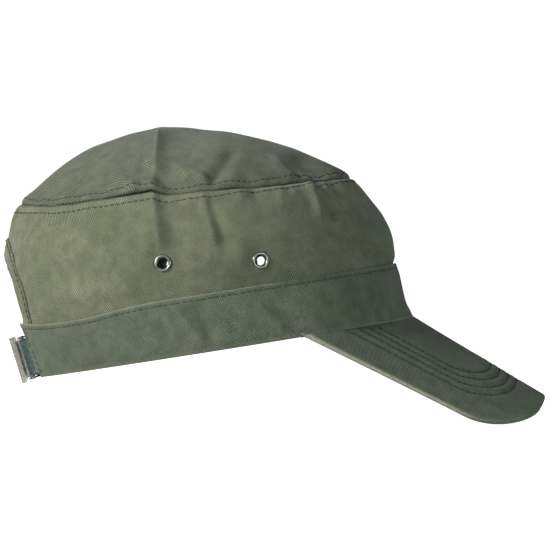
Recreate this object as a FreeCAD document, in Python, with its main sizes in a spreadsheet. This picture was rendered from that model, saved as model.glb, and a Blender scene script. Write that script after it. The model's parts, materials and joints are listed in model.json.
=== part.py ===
import FreeCAD, Part
import math
import os
import Sketcher

from FreeCAD import Placement, Rotation, Vector
from Sketcher import Constraint

# A soft field cap with a domed crown, a wide band, a pre-curved visor and a strap with a flip clasp.
#
# The cap frame has its origin at the centre of the head opening, in the plane of the band's lower
# edge: +X points forward, +Y to the wearer's left, +Z up out of the crown. Every piece is built in a
# frame of its own (cap, band, seam, visor or clasp frame) and its Placement puts it in the model's
# frame, where the cap stands on a table on its visor's side edges and its clasp, front raised.
# Lengths are in millimetres, angles in degrees, and "half" means half of a full width.

SIZES = {
    # cloth and webbing
    "cloth": 1.2,
    "lining_gap": 0.2,
    "tape_thickness": 0.6,
    "binding_thickness": 0.7,
    "binding_gap": 0.1,
    # how round the ends of every oval are: end radius over half width
    "oval_end": 0.9,
    # band: an oval tube that leans back, cut by two planes parallel to the head opening
    "band_lean": 8.0,
    "band_shift": -1.5,
    "band_half_length": 99.6,
    "band_half_width": 84.0,
    "band_height": 29.2,
    "band_cloth": 1.2,
    "band_gap_half": 28.1,
    "interlining_inset": 1.6,
    "interlining_thickness": 0.7,
    "interlining_low": 1.5,
    "interlining_high": 25.0,
    "sweat_inset": 4.9,
    "sweat_thickness": 1.0,
    "sweat_low": 1.0,
    "sweat_high": 34.0,
    "inner_gap_half": 44.0,
    # crown side wall, four oval sections from the tuck behind the band up to the crown seam
    "tuck_height": 26.0,
    "tuck_shift": -4.9,
    "tuck_half_length": 96.5,
    "tuck_half_width": 80.8,
    "tuck_tilt": 0.0,
    "bulge_height": 47.0,
    "bulge_shift": -4.8,
    "bulge_half_length": 101.1,
    "bulge_half_width": 85.5,
    "bulge_tilt": 0.8,
    "shoulder_height": 68.0,
    "shoulder_shift": -6.9,
    "shoulder_half_length": 94.2,
    "shoulder_half_width": 80.0,
    "shoulder_tilt": 2.3,
    "seam_height": 83.4,
    "seam_shift": -5.7,
    "seam_half_length": 86.2,
    "seam_half_width": 72.5,
    "seam_tilt": 4.6,
    "seam_tape_width": 9.0,
    # crown top, oval sections above the seam plane
    "low_rise": 8.0,
    "low_shift": -1.3,
    "low_half_length": 76.9,
    "low_half_width": 64.0,
    "mid_rise": 16.0,
    "mid_shift": -2.5,
    "mid_half_length": 63.5,
    "mid_half_width": 52.5,
    "high_rise": 23.5,
    "high_shift": -5.0,
    "high_half_length": 48.0,
    "high_half_width": 39.5,
    "upper_rise": 29.5,
    "upper_shift": -6.5,
    "upper_half_length": 29.0,
    "upper_half_width": 23.5,
    "crest_rise": 32.8,
    "crest_shift": -8.0,
    "crest_half_length": 11.0,
    "crest_half_width": 8.5,
    "dome_inner_inset": 0.72,
    # rear half-moon opening in the side wall
    "arch_half": 30.0,
    "arch_spring": 34.0,
    "binding_width": 11.0,
    "binding_foot": 1.5,
    # vent eyelets
    "eyelet_rear_x": -21.4,
    "eyelet_rear_z": 47.6,
    "eyelet_front_x": 27.1,
    "eyelet_front_z": 41.3,
    "eyelet_hole_half": 2.4,
    "eyelet_barrel_half": 2.9,
    "eyelet_flange_half": 4.3,
    "eyelet_flange_thickness": 0.5,
    "eyelet_wall_hole_half": 3.4,
    "eyelet_lift": 0.25,
    "eyelet_edge": 0.3,
    "eyelet_roll_width": 0.5,
    "eyelet_roll_thickness": 0.3,
    "washer_half": 4.6,
    "washer_thickness": 0.4,
    "washer_clear": 0.1,
    "washer_gap": 0.55,
    # visor: layers of an arched sheet whose crest drops away from the band
    "visor_front_x": 101.0,
    "visor_drop": 40.0,
    "visor_arch": 97.0,
    "visor_arch_span": 66.0,
    "visor_cover": 0.5,
    "visor_gap": 0.1,
    "visor_board": 1.2,
    "visor_board_inset": 1.8,
    "visor_clear": 0.3,
    "visor_reach": 79.6,
    "visor_front_radius": 600.0,
    "visor_corner_radius": 36.0,
    "visor_front_half": 69.7,
    "visor_back_half": 76.1,
    "visor_back_reach": 47.0,
    "visor_blank_back": 80.0,
    "visor_blank_length": 180.0,
    # strap and chape: arcs about the band's rear end axis
    "strap_inset": 3.0,
    "strap_thickness": 1.4,
    "strap_half_width": 10.0,
    "strap_height": 24.6,
    "strap_right_end": 30.5,
    "strap_left_end": 40.5,
    "chape_inset": 1.5,
    "chape_thickness": 1.2,
    "chape_half_width": 9.6,
    "chape_start": 9.9,
    "chape_end": 25.0,
    "label_inset": 6.1,
    "label_thickness": 0.4,
    "label_start": 49.5,
    "label_end": 61.5,
    "label_half_height": 8.5,
    # clasp frame: X along the strap towards the wearer's left, Y out of the cap, Z up along the band
    "clasp_turn": 9.5,
    "cheek_inner": 10.4,
    "cheek_thickness": 0.8,
    "base_half": 6.0,
    "base_bottom": -2.8,
    "base_top": -2.0,
    "cheek_front": 0.6,
    "cheek_top": 1.4,
    "cheek_low": -0.6,
    "pin_x": -6.5,
    "pin_y": 1.9,
    "pin_half": 1.0,
    "pin_clear": 0.05,
    "pin_boss": 1.7,
    "pin_half_length": 11.5,
    "bar_x": -12.4,
    "bar_y": 1.5,
    "bar_half": 0.8,
    "bar_boss": 1.4,
    "lever_length": 20.0,
    "lever_half_height": 12.2,
    "lever_thickness": 1.0,
    "lever_radius": 83.0,
    "lever_crown": 4.6,
    "lever_lip": 0.9,
    "lever_sink": 0.3,
    "knuckle_half": 1.6,
    "knuckle_half_height": 10.0,
    "cam_half": 1.4,
    "cam_drop": 0.25,
    # how far the front of the cap is raised when it stands on a table
    "rest_tilt": 13.98,
}

REACH = 250.0        # longer than any piece, for cuts that run right through

doc = FreeCAD.newDocument("FieldCap")
sheet = doc.addObject("Spreadsheet::Sheet", "Sizes")
for row, (alias, number) in enumerate(SIZES.items(), start=1):
    sheet.set(f"A{row}", alias)
    sheet.set(f"B{row}", str(number))
    sheet.setAlias(f"B{row}", alias)
doc.recompute()

subparts = {}


def value(expression):
    """The number that an expression over the sheet's cells stands for."""
    return float(sheet.evalExpression(str(expression)))


def size(name):
    """The sheet cell of that name, written as an expression."""
    return f"Sizes.{name}"


def rot_y(angle):
    return Rotation(Vector(0, 1, 0), angle)


# ---------------------------------------------------------------- frames of the pieces

CAP = Placement()
BAND = Placement(Vector(value("Sizes.band_shift"), 0, 0), rot_y(-value("Sizes.band_lean")))
SEAM = Placement(Vector(value("Sizes.seam_shift"), 0, value("Sizes.seam_height")),
                 rot_y(value("Sizes.seam_tilt")))
VISOR = Placement(Vector(value("Sizes.visor_front_x"), 0, 0), rot_y(value("Sizes.visor_drop")))

# the rear end of every band oval is an arc about this axis, which the strap slides around
END_RADIUS = "(Sizes.oval_end * Sizes.band_half_width)"
STRAP_RADIUS = f"({END_RADIUS} - Sizes.strap_inset)"
rear_axis = Vector(-value(f"Sizes.band_half_length - {END_RADIUS}"), 0, value("Sizes.strap_height"))
clasp_out = Rotation(Vector(0, 0, 1), value("90 + Sizes.clasp_turn"))
CLASP = BAND * Placement(rear_axis, clasp_out) * Placement(Vector(0, value(STRAP_RADIUS), 0),
                                                            Rotation())


# ---------------------------------------------------------------- sketch helpers

def new_body(name, frame):
    body = doc.addObject("PartDesign::Body", name)
    body.Label = name
    subparts[name] = (body, frame)
    return body


def new_sketch(body, name, plane="XY_Plane", offset=None):
    sketch = body.newObject("Sketcher::SketchObject", name)
    origin = next(item for item in body.Origin.OriginFeatures if item.Role == plane)
    sketch.AttachmentSupport = [(origin, "")]
    sketch.MapMode = "FlatFace"
    if offset is not None:
        sketch.AttachmentOffset = offset
    return sketch


def bind(sketch, kind, first, point, expression):
    """Dimension one point from the sketch's origin, bound to an expression."""
    number = sketch.addConstraint(Constraint(kind, -1, 1, first, point, value(expression)))
    sketch.setExpression(f"Constraints[{number}]", expression)


def bind_radius(sketch, index, expression):
    number = sketch.addConstraint(Constraint("Radius", index, value(expression)))
    sketch.setExpression(f"Constraints[{number}]", expression)


def arc(x, y, radius, start, end):
    return Part.ArcOfCircle(Part.Circle(Vector(x, y, 0), Vector(0, 0, 1), radius), start, end)


def add_oval(sketch, half_length, half_width, inset="0"):
    """Four tangent arcs about the sketch's origin, moved in by the inset."""
    a = value(f"{half_length} - ({inset})")
    b = value(f"{half_width} - ({inset})")
    r = value(f"Sizes.oval_end * {half_width} - ({inset})")
    offset = a - r
    drop = (offset ** 2 - (b - r) ** 2) / (2 * (b - r))
    turn = math.atan2(drop, offset)
    first = sketch.GeometryCount
    sketch.addGeometry([
        arc(offset, 0, r, -turn, turn),
        arc(0, -drop, b + drop, turn, math.pi - turn),
        arc(-offset, 0, r, math.pi - turn, math.pi + turn),
        arc(0, drop, b + drop, math.pi + turn, 2 * math.pi - turn)], False)
    for index in range(4):
        sketch.addConstraint(Constraint("Tangent", first + index, 2, first + (index + 1) % 4, 1))
    sketch.addConstraint(Constraint("PointOnObject", first, 3, -1))
    sketch.addConstraint(Constraint("Symmetric", first, 3, first + 2, 3, -2))
    sketch.addConstraint(Constraint("Equal", first, first + 2))
    sketch.addConstraint(Constraint("Equal", first + 1, first + 3))
    end = f"(Sizes.oval_end * {half_width})"
    bind_radius(sketch, first, f"{end} - ({inset})")
    bind(sketch, "DistanceX", first, 3, f"{half_length} - {end}")
    side = f"(({half_length} - {end})^2 - ({half_width} - {end})^2) / (2 * ({half_width} - {end}))"
    bind_radius(sketch, first + 1, f"{half_width} - ({inset}) + {side}")


def add_polygon(sketch, points):
    """A closed loop of lines; each corner is a pair of expressions."""
    first = sketch.GeometryCount
    corners = [Vector(value(x), value(y), 0) for x, y in points]
    count = len(points)
    sketch.addGeometry([Part.LineSegment(corners[i], corners[(i + 1) % count])
                        for i in range(count)], False)
    for index in range(count):
        sketch.addConstraint(Constraint("Coincident", first + index, 2,
                                        first + (index + 1) % count, 1))
    for index, (x, y) in enumerate(points):
        bind(sketch, "DistanceX", first + index, 1, x)
        bind(sketch, "DistanceY", first + index, 1, y)


def add_circle(sketch, x, y, radius):
    index = sketch.addGeometry(Part.Circle(Vector(value(x), value(y), 0), Vector(0, 0, 1),
                                           value(radius)), False)
    bind(sketch, "DistanceX", index, 3, x)
    bind(sketch, "DistanceY", index, 3, y)
    bind_radius(sketch, index, radius)


def add_sector(sketch, x, y, inner, outer, start, end):
    """A ring sector about (x, y), between two angles from the sketch's X axis."""
    first = sketch.GeometryCount
    centre_x, centre_y = value(x), value(y)
    angles = [math.radians(value(start)), math.radians(value(end))]
    radii = [value(inner), value(outer)]
    ends = [[Vector(centre_x + r * math.cos(t), centre_y + r * math.sin(t), 0) for t in angles]
            for r in radii]
    sketch.addGeometry([
        arc(centre_x, centre_y, radii[1], *angles),
        Part.LineSegment(ends[1][1], ends[0][1]),
        arc(centre_x, centre_y, radii[0], *angles),
        Part.LineSegment(ends[0][0], ends[1][0])], False)
    sketch.addConstraint(Constraint("Coincident", first, 2, first + 1, 1))
    sketch.addConstraint(Constraint("Coincident", first + 1, 2, first + 2, 2))
    sketch.addConstraint(Constraint("Coincident", first + 2, 1, first + 3, 1))
    sketch.addConstraint(Constraint("Coincident", first + 3, 2, first, 1))
    sketch.addConstraint(Constraint("Coincident", first, 3, first + 2, 3))
    bind(sketch, "DistanceX", first, 3, x)
    bind(sketch, "DistanceY", first, 3, y)
    for index, radius in ((first, outer), (first + 2, inner)):
        bind_radius(sketch, index, radius)
        bind(sketch, "DistanceX", index, 1, f"{x} + ({radius}) * cos({start})")
        bind(sketch, "DistanceX", index, 2, f"{x} + ({radius}) * cos({end})")


def pad(body, sketch, length, both_ways=False):
    feature = body.newObject("PartDesign::Pad", sketch.Name + "_pad")
    feature.Profile = sketch
    if both_ways:
        feature.SideType = "Symmetric"
    feature.setExpression("Length", str(length))
    return feature


def pocket(body, sketch, length, both_ways=False, reverse=False):
    feature = body.newObject("PartDesign::Pocket", sketch.Name + "_pocket")
    feature.Profile = sketch
    if both_ways:
        feature.SideType = "Symmetric"
    feature.Reversed = reverse
    feature.setExpression("Length", str(length))
    return feature


def loft(body, kind, sections):
    feature = body.newObject(f"PartDesign::{kind}", f"{body.Name}_{kind}")
    feature.Profile = sections[0]
    feature.Sections = [(section, [""]) for section in sections[1:]]
    return feature


# ---------------------------------------------------------------- band family

def trim_band(body, low, high):
    """Cut a leaning band by the planes that lie low and high above the head opening."""
    lean = "sin(Sizes.band_lean)"
    upright = "cos(Sizes.band_lean)"
    for name, level, far in (("below", low, -REACH), ("above", high, REACH)):
        sketch = new_sketch(body, f"{body.Name}_{name}", "XZ_Plane")
        add_polygon(sketch, [
            (f"-{REACH}", f"({level} + {REACH} * {lean}) / {upright}"),
            (f"{REACH}", f"({level} - {REACH} * {lean}) / {upright}"),
            (f"{REACH}", f"{far}"),
            (f"-{REACH}", f"{far}")])
        pocket(body, sketch, 2 * REACH, both_ways=True)


def cut_rear_gap(body, half_gap):
    """Open an oval strip at the back of the head."""
    sketch = new_sketch(body, f"{body.Name}_gap", "YZ_Plane")
    add_polygon(sketch, [(f"-{half_gap}", f"-{REACH}"), (half_gap, f"-{REACH}"),
                         (half_gap, f"{REACH}"), (f"-{half_gap}", f"{REACH}")])
    pocket(body, sketch, REACH)


def oval_strip(name, inset, thickness, low, high, half_gap):
    """A strip of the band's oval, open at the back."""
    body = new_body(name, BAND)
    sketch = new_sketch(body, f"{name}_ovals")
    add_oval(sketch, size("band_half_length"), size("band_half_width"), inset)
    add_oval(sketch, size("band_half_length"), size("band_half_width"), f"{inset} + {thickness}")
    pad(body, sketch, 2 * REACH, both_ways=True)
    trim_band(body, low, high)
    cut_rear_gap(body, half_gap)
    return body


oval_strip("band_outer", "0", size("band_cloth"), "0", size("band_height"), size("band_gap_half"))
oval_strip("band_interlining", size("interlining_inset"), size("interlining_thickness"),
           size("interlining_low"), size("interlining_high"), size("inner_gap_half"))
oval_strip("sweatband", size("sweat_inset"), size("sweat_thickness"),
           size("sweat_low"), size("sweat_high"), size("inner_gap_half"))


# ---------------------------------------------------------------- crown side family

def wall_sections(body, tag, inset):
    """The side wall's ovals, moved in by the inset."""
    sections = []
    for level in ("tuck", "bulge", "shoulder", "seam"):
        offset = Placement(Vector(value(size(f"{level}_shift")), 0, value(size(f"{level}_height"))),
                           rot_y(value(size(f"{level}_tilt"))))
        sketch = new_sketch(body, f"{body.Name}_{tag}_{level}", "XY_Plane", offset)
        sketch.setExpression("AttachmentOffset.Base.x", size(f"{level}_shift"))
        sketch.setExpression("AttachmentOffset.Base.z", size(f"{level}_height"))
        if level != "tuck":
            sketch.setExpression("AttachmentOffset.Rotation.Angle", size(f"{level}_tilt"))
        add_oval(sketch, size(f"{level}_half_length"), size(f"{level}_half_width"), inset)
        sections.append(sketch)
    return sections


def wall_shell(name, outer_inset, inner_inset):
    body = new_body(name, CAP)
    loft(body, "AdditiveLoft", wall_sections(body, "outer", outer_inset))
    loft(body, "SubtractiveLoft", wall_sections(body, "inner", inner_inset))
    return body


def add_arch(sketch, half, foot):
    """A half-moon with upright sides down to the foot, about the opening's springing line."""
    spring = value("Sizes.arch_spring")
    radius = value(half)
    low = value(foot)
    first = sketch.GeometryCount
    sketch.addGeometry([
        arc(0, spring, radius, 0, math.pi),
        Part.LineSegment(Vector(-radius, spring, 0), Vector(-radius, low, 0)),
        Part.LineSegment(Vector(-radius, low, 0), Vector(radius, low, 0)),
        Part.LineSegment(Vector(radius, low, 0), Vector(radius, spring, 0))], False)
    sketch.addConstraint(Constraint("Tangent", first, 2, first + 1, 1))
    sketch.addConstraint(Constraint("Coincident", first + 1, 2, first + 2, 1))
    sketch.addConstraint(Constraint("Coincident", first + 2, 2, first + 3, 1))
    sketch.addConstraint(Constraint("Tangent", first + 3, 2, first, 1))
    sketch.addConstraint(Constraint("PointOnObject", first, 3, -2))
    sketch.addConstraint(Constraint("Vertical", first + 1))
    sketch.addConstraint(Constraint("Horizontal", first + 2))
    bind_radius(sketch, first, half)
    bind(sketch, "DistanceY", first, 3, size("arch_spring"))
    bind(sketch, "DistanceY", first + 1, 2, foot)


def cut_arch(body, half):
    sketch = new_sketch(body, f"{body.Name}_arch", "YZ_Plane")
    add_arch(sketch, half, "0")
    pocket(body, sketch, REACH)


wall = wall_shell("crown_side", "0", size("cloth"))
cut_arch(wall, size("arch_half"))
holes = new_sketch(wall, "eyelet_holes", "XZ_Plane")
for place in ("rear", "front"):
    add_circle(holes, size(f"eyelet_{place}_x"), size(f"eyelet_{place}_z"),
               size("eyelet_wall_hole_half"))
pocket(wall, holes, 2 * REACH, both_ways=True)

tape = wall_shell("crown_seam_tape", "Sizes.cloth + Sizes.lining_gap",
                  "Sizes.cloth + Sizes.lining_gap + Sizes.tape_thickness")
below_tape = new_sketch(tape, "below_tape", "XZ_Plane")
tape_foot = "Sizes.seam_height - Sizes.seam_tape_width / cos(Sizes.seam_tilt)"
add_polygon(below_tape, [
    (f"-{REACH}", f"{tape_foot} + ({REACH} + Sizes.seam_shift) * tan(Sizes.seam_tilt)"),
    (f"{REACH}", f"{tape_foot} - ({REACH} - Sizes.seam_shift) * tan(Sizes.seam_tilt)"),
    (f"{REACH}", f"-{REACH}"),
    (f"-{REACH}", f"-{REACH}")])
pocket(tape, below_tape, 2 * REACH, both_ways=True)

# The binding folds over the opening's edge, so it is a thick rim less the wall that it grips.
binding_rim = wall_shell("binding_rim", "-(Sizes.binding_gap + Sizes.binding_thickness)",
                         "Sizes.cloth + Sizes.binding_gap + Sizes.binding_thickness")
cut_arch(binding_rim, "Sizes.arch_half - Sizes.binding_gap - Sizes.binding_thickness")
around = new_sketch(binding_rim, "around_binding", "YZ_Plane")
add_polygon(around, [(f"-{REACH}", "0"), (f"{REACH}", "0"), (f"{REACH}", f"{REACH}"),
                     (f"-{REACH}", f"{REACH}")])
add_arch(around, "Sizes.arch_half + Sizes.binding_width",
         "Sizes.band_height + Sizes.binding_foot")
pocket(binding_rim, around, 2 * REACH, both_ways=True)
front_half = new_sketch(binding_rim, "front_half", "YZ_Plane")
add_polygon(front_half, [(f"-{REACH}", f"-{REACH}"), (f"{REACH}", f"-{REACH}"),
                         (f"{REACH}", f"{REACH}"), (f"-{REACH}", f"{REACH}")])
pocket(binding_rim, front_half, REACH, reverse=True)

binding_core = wall_shell("binding_core", "-Sizes.binding_gap", "Sizes.cloth + Sizes.binding_gap")
cut_arch(binding_core, "Sizes.arch_half - Sizes.binding_gap")
binding = doc.addObject("Part::Cut", "opening_binding")
binding.Base = binding_rim
binding.Tool = binding_core
binding.Label = "opening_binding"
for tool in ("binding_rim", "binding_core"):
    del subparts[tool]
subparts["opening_binding"] = (binding, CAP)


# ---------------------------------------------------------------- crown top

def dome_sections(body, tag, inset, lowered):
    """The top panel's ovals above the seam plane, moved in and down."""
    sections = []
    for level in ("seam", "low", "mid", "high", "upper", "crest"):
        rise = "0" if level == "seam" else size(f"{level}_rise")
        shift = "0" if level == "seam" else size(f"{level}_shift")
        height = f"{rise} - ({lowered})"
        offset = Placement(Vector(value(shift), 0, value(height)), Rotation())
        sketch = new_sketch(body, f"{body.Name}_{tag}_{level}", "XY_Plane", offset)
        sketch.setExpression("AttachmentOffset.Base.x", shift)
        sketch.setExpression("AttachmentOffset.Base.z", height)
        add_oval(sketch, size(f"{level}_half_length"), size(f"{level}_half_width"), inset)
        sections.append(sketch)
    return sections


top = new_body("crown_top", SEAM)
loft(top, "AdditiveLoft", dome_sections(top, "outer", "0", "-Sizes.lining_gap"))
loft(top, "SubtractiveLoft", dome_sections(top, "inner", size("dome_inner_inset"), size("cloth")))


# ---------------------------------------------------------------- visor family

def add_visor_outline(sketch, inset):
    """Bowed front edge, two round corners and two side edges, symmetric about the X axis."""
    reach = value(f"Sizes.visor_reach - ({inset})")
    front = value(f"Sizes.visor_front_radius - ({inset})")
    corner = value(f"Sizes.visor_corner_radius - ({inset})")
    back = Vector(-value("Sizes.visor_back_reach"), value(f"Sizes.visor_back_half - ({inset})"), 0)
    corner_y = value("Sizes.visor_front_half - Sizes.visor_corner_radius")
    front_x = reach - front
    corner_x = front_x + math.sqrt((front - corner) ** 2 - corner_y ** 2)
    blend = math.atan2(corner_y, corner_x - front_x)
    run = Vector(corner_x, corner_y, 0) - back
    heading = math.atan2(run.y, run.x) + math.asin(corner / run.Length)
    touch = Vector(corner_x - corner * math.sin(heading), corner_y + corner * math.cos(heading), 0)
    first = sketch.GeometryCount
    sketch.addGeometry([
        arc(front_x, 0, front, -blend, blend),
        arc(corner_x, corner_y, corner, blend, heading + math.pi / 2),
        Part.LineSegment(touch, back),
        Part.LineSegment(back, Vector(back.x, -back.y, 0)),
        Part.LineSegment(Vector(back.x, -back.y, 0), Vector(touch.x, -touch.y, 0)),
        arc(corner_x, -corner_y, corner, -heading - math.pi / 2, -blend)], False)
    for index, point, follower, start in ((0, 2, 1, 1), (1, 2, 2, 1), (4, 2, 5, 1), (5, 2, 0, 1)):
        sketch.addConstraint(Constraint("Tangent", first + index, point, first + follower, start))
    for index in (2, 3):
        sketch.addConstraint(Constraint("Coincident", first + index, 2, first + index + 1, 1))
    sketch.addConstraint(Constraint("PointOnObject", first, 3, -1))
    sketch.addConstraint(Constraint("Symmetric", first + 2, 2, first + 3, 2, -1))
    sketch.addConstraint(Constraint("Symmetric", first + 1, 3, first + 5, 3, -1))
    bind_radius(sketch, first, f"Sizes.visor_front_radius - ({inset})")
    bind_radius(sketch, first + 1, f"Sizes.visor_corner_radius - ({inset})")
    bind(sketch, "DistanceX", first, 3, "Sizes.visor_reach - Sizes.visor_front_radius")
    bind(sketch, "DistanceY", first + 1, 3, "Sizes.visor_front_half - Sizes.visor_corner_radius")
    bind(sketch, "DistanceX", first + 2, 2, "-Sizes.visor_back_reach")
    bind(sketch, "DistanceY", first + 2, 2, f"Sizes.visor_back_half - ({inset})")


def visor_layer(name, depth, thickness, inset, clear):
    """One sheet of the visor: depth below the top face, trimmed to the outline and the band."""
    body = new_body(name, VISOR)
    behind = Placement(Vector(0, 0, -value("Sizes.visor_blank_back")), Rotation())
    arch = new_sketch(body, f"{name}_arch", "YZ_Plane", behind)
    arch.setExpression("AttachmentOffset.Base.z", "-Sizes.visor_blank_back")
    add_sector(arch, "0", "-Sizes.visor_arch", f"Sizes.visor_arch - ({depth}) - ({thickness})",
               f"Sizes.visor_arch - ({depth})", "90 - Sizes.visor_arch_span",
               "90 + Sizes.visor_arch_span")
    pad(body, arch, size("visor_blank_length"))
    plan = new_sketch(body, f"{name}_plan")
    add_polygon(plan, [(f"-{REACH}", f"-{REACH}"), (f"{REACH}", f"-{REACH}"),
                       (f"{REACH}", f"{REACH}"), (f"-{REACH}", f"{REACH}")])
    add_visor_outline(plan, inset)
    pocket(body, plan, 2 * REACH, both_ways=True)
    root = new_sketch(body, f"{name}_root", "XZ_Plane")
    under_band = f"({clear}) / cos(Sizes.visor_drop)"
    add_polygon(root, [
        (f"-{REACH}", f"-{REACH} * tan(Sizes.visor_drop) - {under_band}"),
        (f"{REACH}", f"{REACH} * tan(Sizes.visor_drop) - {under_band}"),
        (f"-{REACH}", f"{REACH} * tan(Sizes.visor_drop)")])
    pocket(body, root, 2 * REACH, both_ways=True)
    return body


visor_layer("visor_top_cover", "0", size("visor_cover"), "0", size("visor_clear"))
visor_layer("visor_board", "Sizes.visor_cover + Sizes.visor_gap", size("visor_board"),
            size("visor_board_inset"), "Sizes.visor_clear + Sizes.visor_board_inset")
visor_layer("visor_bottom_cover", "Sizes.visor_cover + Sizes.visor_board + 2 * Sizes.visor_gap",
            size("visor_cover"), "0", size("visor_clear"))


# ---------------------------------------------------------------- strap and clasp

def rear_arc(name, inset, thickness, start, end, half_height):
    """A strip on an arc about the band's rear axis, between two angles from the clasp's own."""
    body = new_body(name, CLASP)
    sketch = new_sketch(body, f"{name}_arc")
    add_sector(sketch, "0", f"-{STRAP_RADIUS}", f"{END_RADIUS} - {inset} - {thickness}",
               f"{END_RADIUS} - {inset}", start, end)
    pad(body, sketch, f"2 * {half_height}", both_ways=True)
    return body


rear_arc("adjuster_strap", size("strap_inset"), size("strap_thickness"),
         "90 - Sizes.strap_left_end", "90 + Sizes.strap_right_end", size("strap_half_width"))
rear_arc("care_label", size("label_inset"), size("label_thickness"),
         "90 - Sizes.label_end", "90 - Sizes.label_start", size("label_half_height"))

chape = rear_arc("clasp_chape", size("chape_inset"), size("chape_thickness"),
                 "90 + Sizes.chape_start", "90 + Sizes.chape_end", size("chape_half_width"))
loop = new_sketch(chape, "chape_loop")
add_circle(loop, size("bar_x"), size("bar_y"), "Sizes.bar_half + Sizes.chape_thickness")
pad(chape, loop, "2 * Sizes.chape_half_width", both_ways=True)
bar_hole = new_sketch(chape, "chape_bar_hole")
add_circle(bar_hole, size("bar_x"), size("bar_y"), "Sizes.bar_half + Sizes.pin_clear")
pocket(chape, bar_hole, REACH, both_ways=True)


def clasp_rod(name, x, y, radius, half_length):
    """A round rod through both cheeks of the clasp."""
    body = new_body(name, CLASP)
    sketch = new_sketch(body, f"{name}_circle")
    add_circle(sketch, x, y, radius)
    pad(body, sketch, f"2 * {half_length}", both_ways=True)


clasp_rod("clasp_pin", size("pin_x"), size("pin_y"), size("pin_half"), size("pin_half_length"))
clasp_rod("chape_bar", size("bar_x"), size("bar_y"), size("bar_half"), size("pin_half_length"))

frame = new_body("clasp_frame", CLASP)
base = new_sketch(frame, "clasp_base")
add_polygon(base, [("-Sizes.base_half", size("base_bottom")), (size("base_half"), size("base_bottom")),
                   (size("base_half"), size("base_top")), ("-Sizes.base_half", size("base_top"))])
pad(frame, base, "2 * (Sizes.cheek_inner + Sizes.cheek_thickness)", both_ways=True)
at_cheek = Placement(Vector(0, 0, value("Sizes.cheek_inner")), Rotation())
cheek = new_sketch(frame, "clasp_cheek", "XY_Plane", at_cheek)
cheek.setExpression("AttachmentOffset.Base.z", "Sizes.cheek_inner")
add_polygon(cheek, [
    ("-Sizes.base_half", size("base_bottom")),
    (size("base_half"), size("base_bottom")),
    (size("base_half"), size("cheek_front")),
    ("Sizes.pin_x + Sizes.pin_boss", "Sizes.pin_y"),
    ("Sizes.pin_x - Sizes.pin_boss", size("cheek_top")),
    (size("bar_x"), size("cheek_top")),
    (size("bar_x"), "Sizes.bar_y - Sizes.bar_boss"),
    ("Sizes.pin_x - Sizes.pin_boss", size("cheek_low"))])
cheek_pads = [pad(frame, cheek, size("cheek_thickness"))]
for rod in ("pin", "bar"):
    boss = new_sketch(frame, f"clasp_{rod}_boss", "XY_Plane", at_cheek)
    boss.setExpression("AttachmentOffset.Base.z", "Sizes.cheek_inner")
    add_circle(boss, size(f"{rod}_x"), size(f"{rod}_y"), size(f"{rod}_boss"))
    cheek_pads.append(pad(frame, boss, size("cheek_thickness")))
rod_holes = new_sketch(frame, "clasp_rod_holes")
for rod in ("pin", "bar"):
    add_circle(rod_holes, size(f"{rod}_x"), size(f"{rod}_y"), size(f"{rod}_half"))
doc.recompute()
both_cheeks = frame.newObject("PartDesign::Mirrored", "both_cheeks")
both_cheeks.Originals = cheek_pads
both_cheeks.MirrorPlane = (next(item for item in frame.Origin.OriginFeatures
                                if item.Role == "XY_Plane"), [""])
frame.Tip = both_cheeks
doc.recompute()
pocket(frame, rod_holes, REACH, both_ways=True)

lever = new_body("clasp_lever", CLASP)
knuckle = new_sketch(lever, "lever_knuckle")
add_circle(knuckle, size("pin_x"), size("pin_y"), size("knuckle_half"))
pad(lever, knuckle, "2 * Sizes.knuckle_half_height", both_ways=True)
cam = new_sketch(lever, "lever_cam")
add_circle(cam, size("pin_x"), "Sizes.pin_y - Sizes.cam_drop", size("cam_half"))
pad(lever, cam, "2 * Sizes.knuckle_half_height", both_ways=True)
neck = new_sketch(lever, "lever_neck")
add_polygon(neck, [("Sizes.pin_x", "Sizes.pin_y"), ("Sizes.pin_x + Sizes.knuckle_half", "Sizes.pin_y"),
                   ("Sizes.pin_x + Sizes.knuckle_half", "Sizes.lever_crown"),
                   ("Sizes.pin_x", "Sizes.lever_crown - Sizes.lever_sink")])
pad(lever, neck, "2 * Sizes.knuckle_half_height", both_ways=True)
plate = new_sketch(lever, "lever_plate")
plate_mid = "Sizes.pin_x + Sizes.lever_length / 2"
plate_turn = "asin(Sizes.lever_length / 2 / Sizes.lever_radius)"
add_sector(plate, plate_mid, "Sizes.lever_crown - Sizes.lever_radius", size("lever_radius"),
           "(Sizes.lever_radius + Sizes.lever_thickness)", f"90deg - {plate_turn}",
           f"90deg + {plate_turn}")
pad(lever, plate, "2 * Sizes.lever_half_height", both_ways=True)
lip = new_sketch(lever, "lever_lip")
add_circle(lip, "Sizes.pin_x + Sizes.lever_length", "Sizes.lever_crown", size("lever_lip"))
pad(lever, lip, "2 * Sizes.lever_half_height", both_ways=True)
lever_bore = new_sketch(lever, "lever_bore")
add_circle(lever_bore, size("pin_x"), size("pin_y"), "Sizes.pin_half + Sizes.pin_clear")
pocket(lever, lever_bore, REACH, both_ways=True)

doc.recompute()


# ---------------------------------------------------------------- eyelets

def wall_frame(x, z, side):
    """The frame on the wall's outer face at (x, z), its Z axis pointing out of the cap."""
    ray = Part.makeLine(Vector(x, side * REACH, z), Vector(x, 0, z))
    shell = plain_wall.common(ray)
    point = max((vertex.Point for vertex in shell.Vertexes), key=lambda p: side * p.y)
    face = min(plain_wall.Faces, key=lambda f: f.distToShape(Part.Vertex(point))[0])
    normal = face.normalAt(*face.Surface.parameter(point))
    return Placement(point, Rotation(Vector(0, 0, 1), normal))


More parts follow.
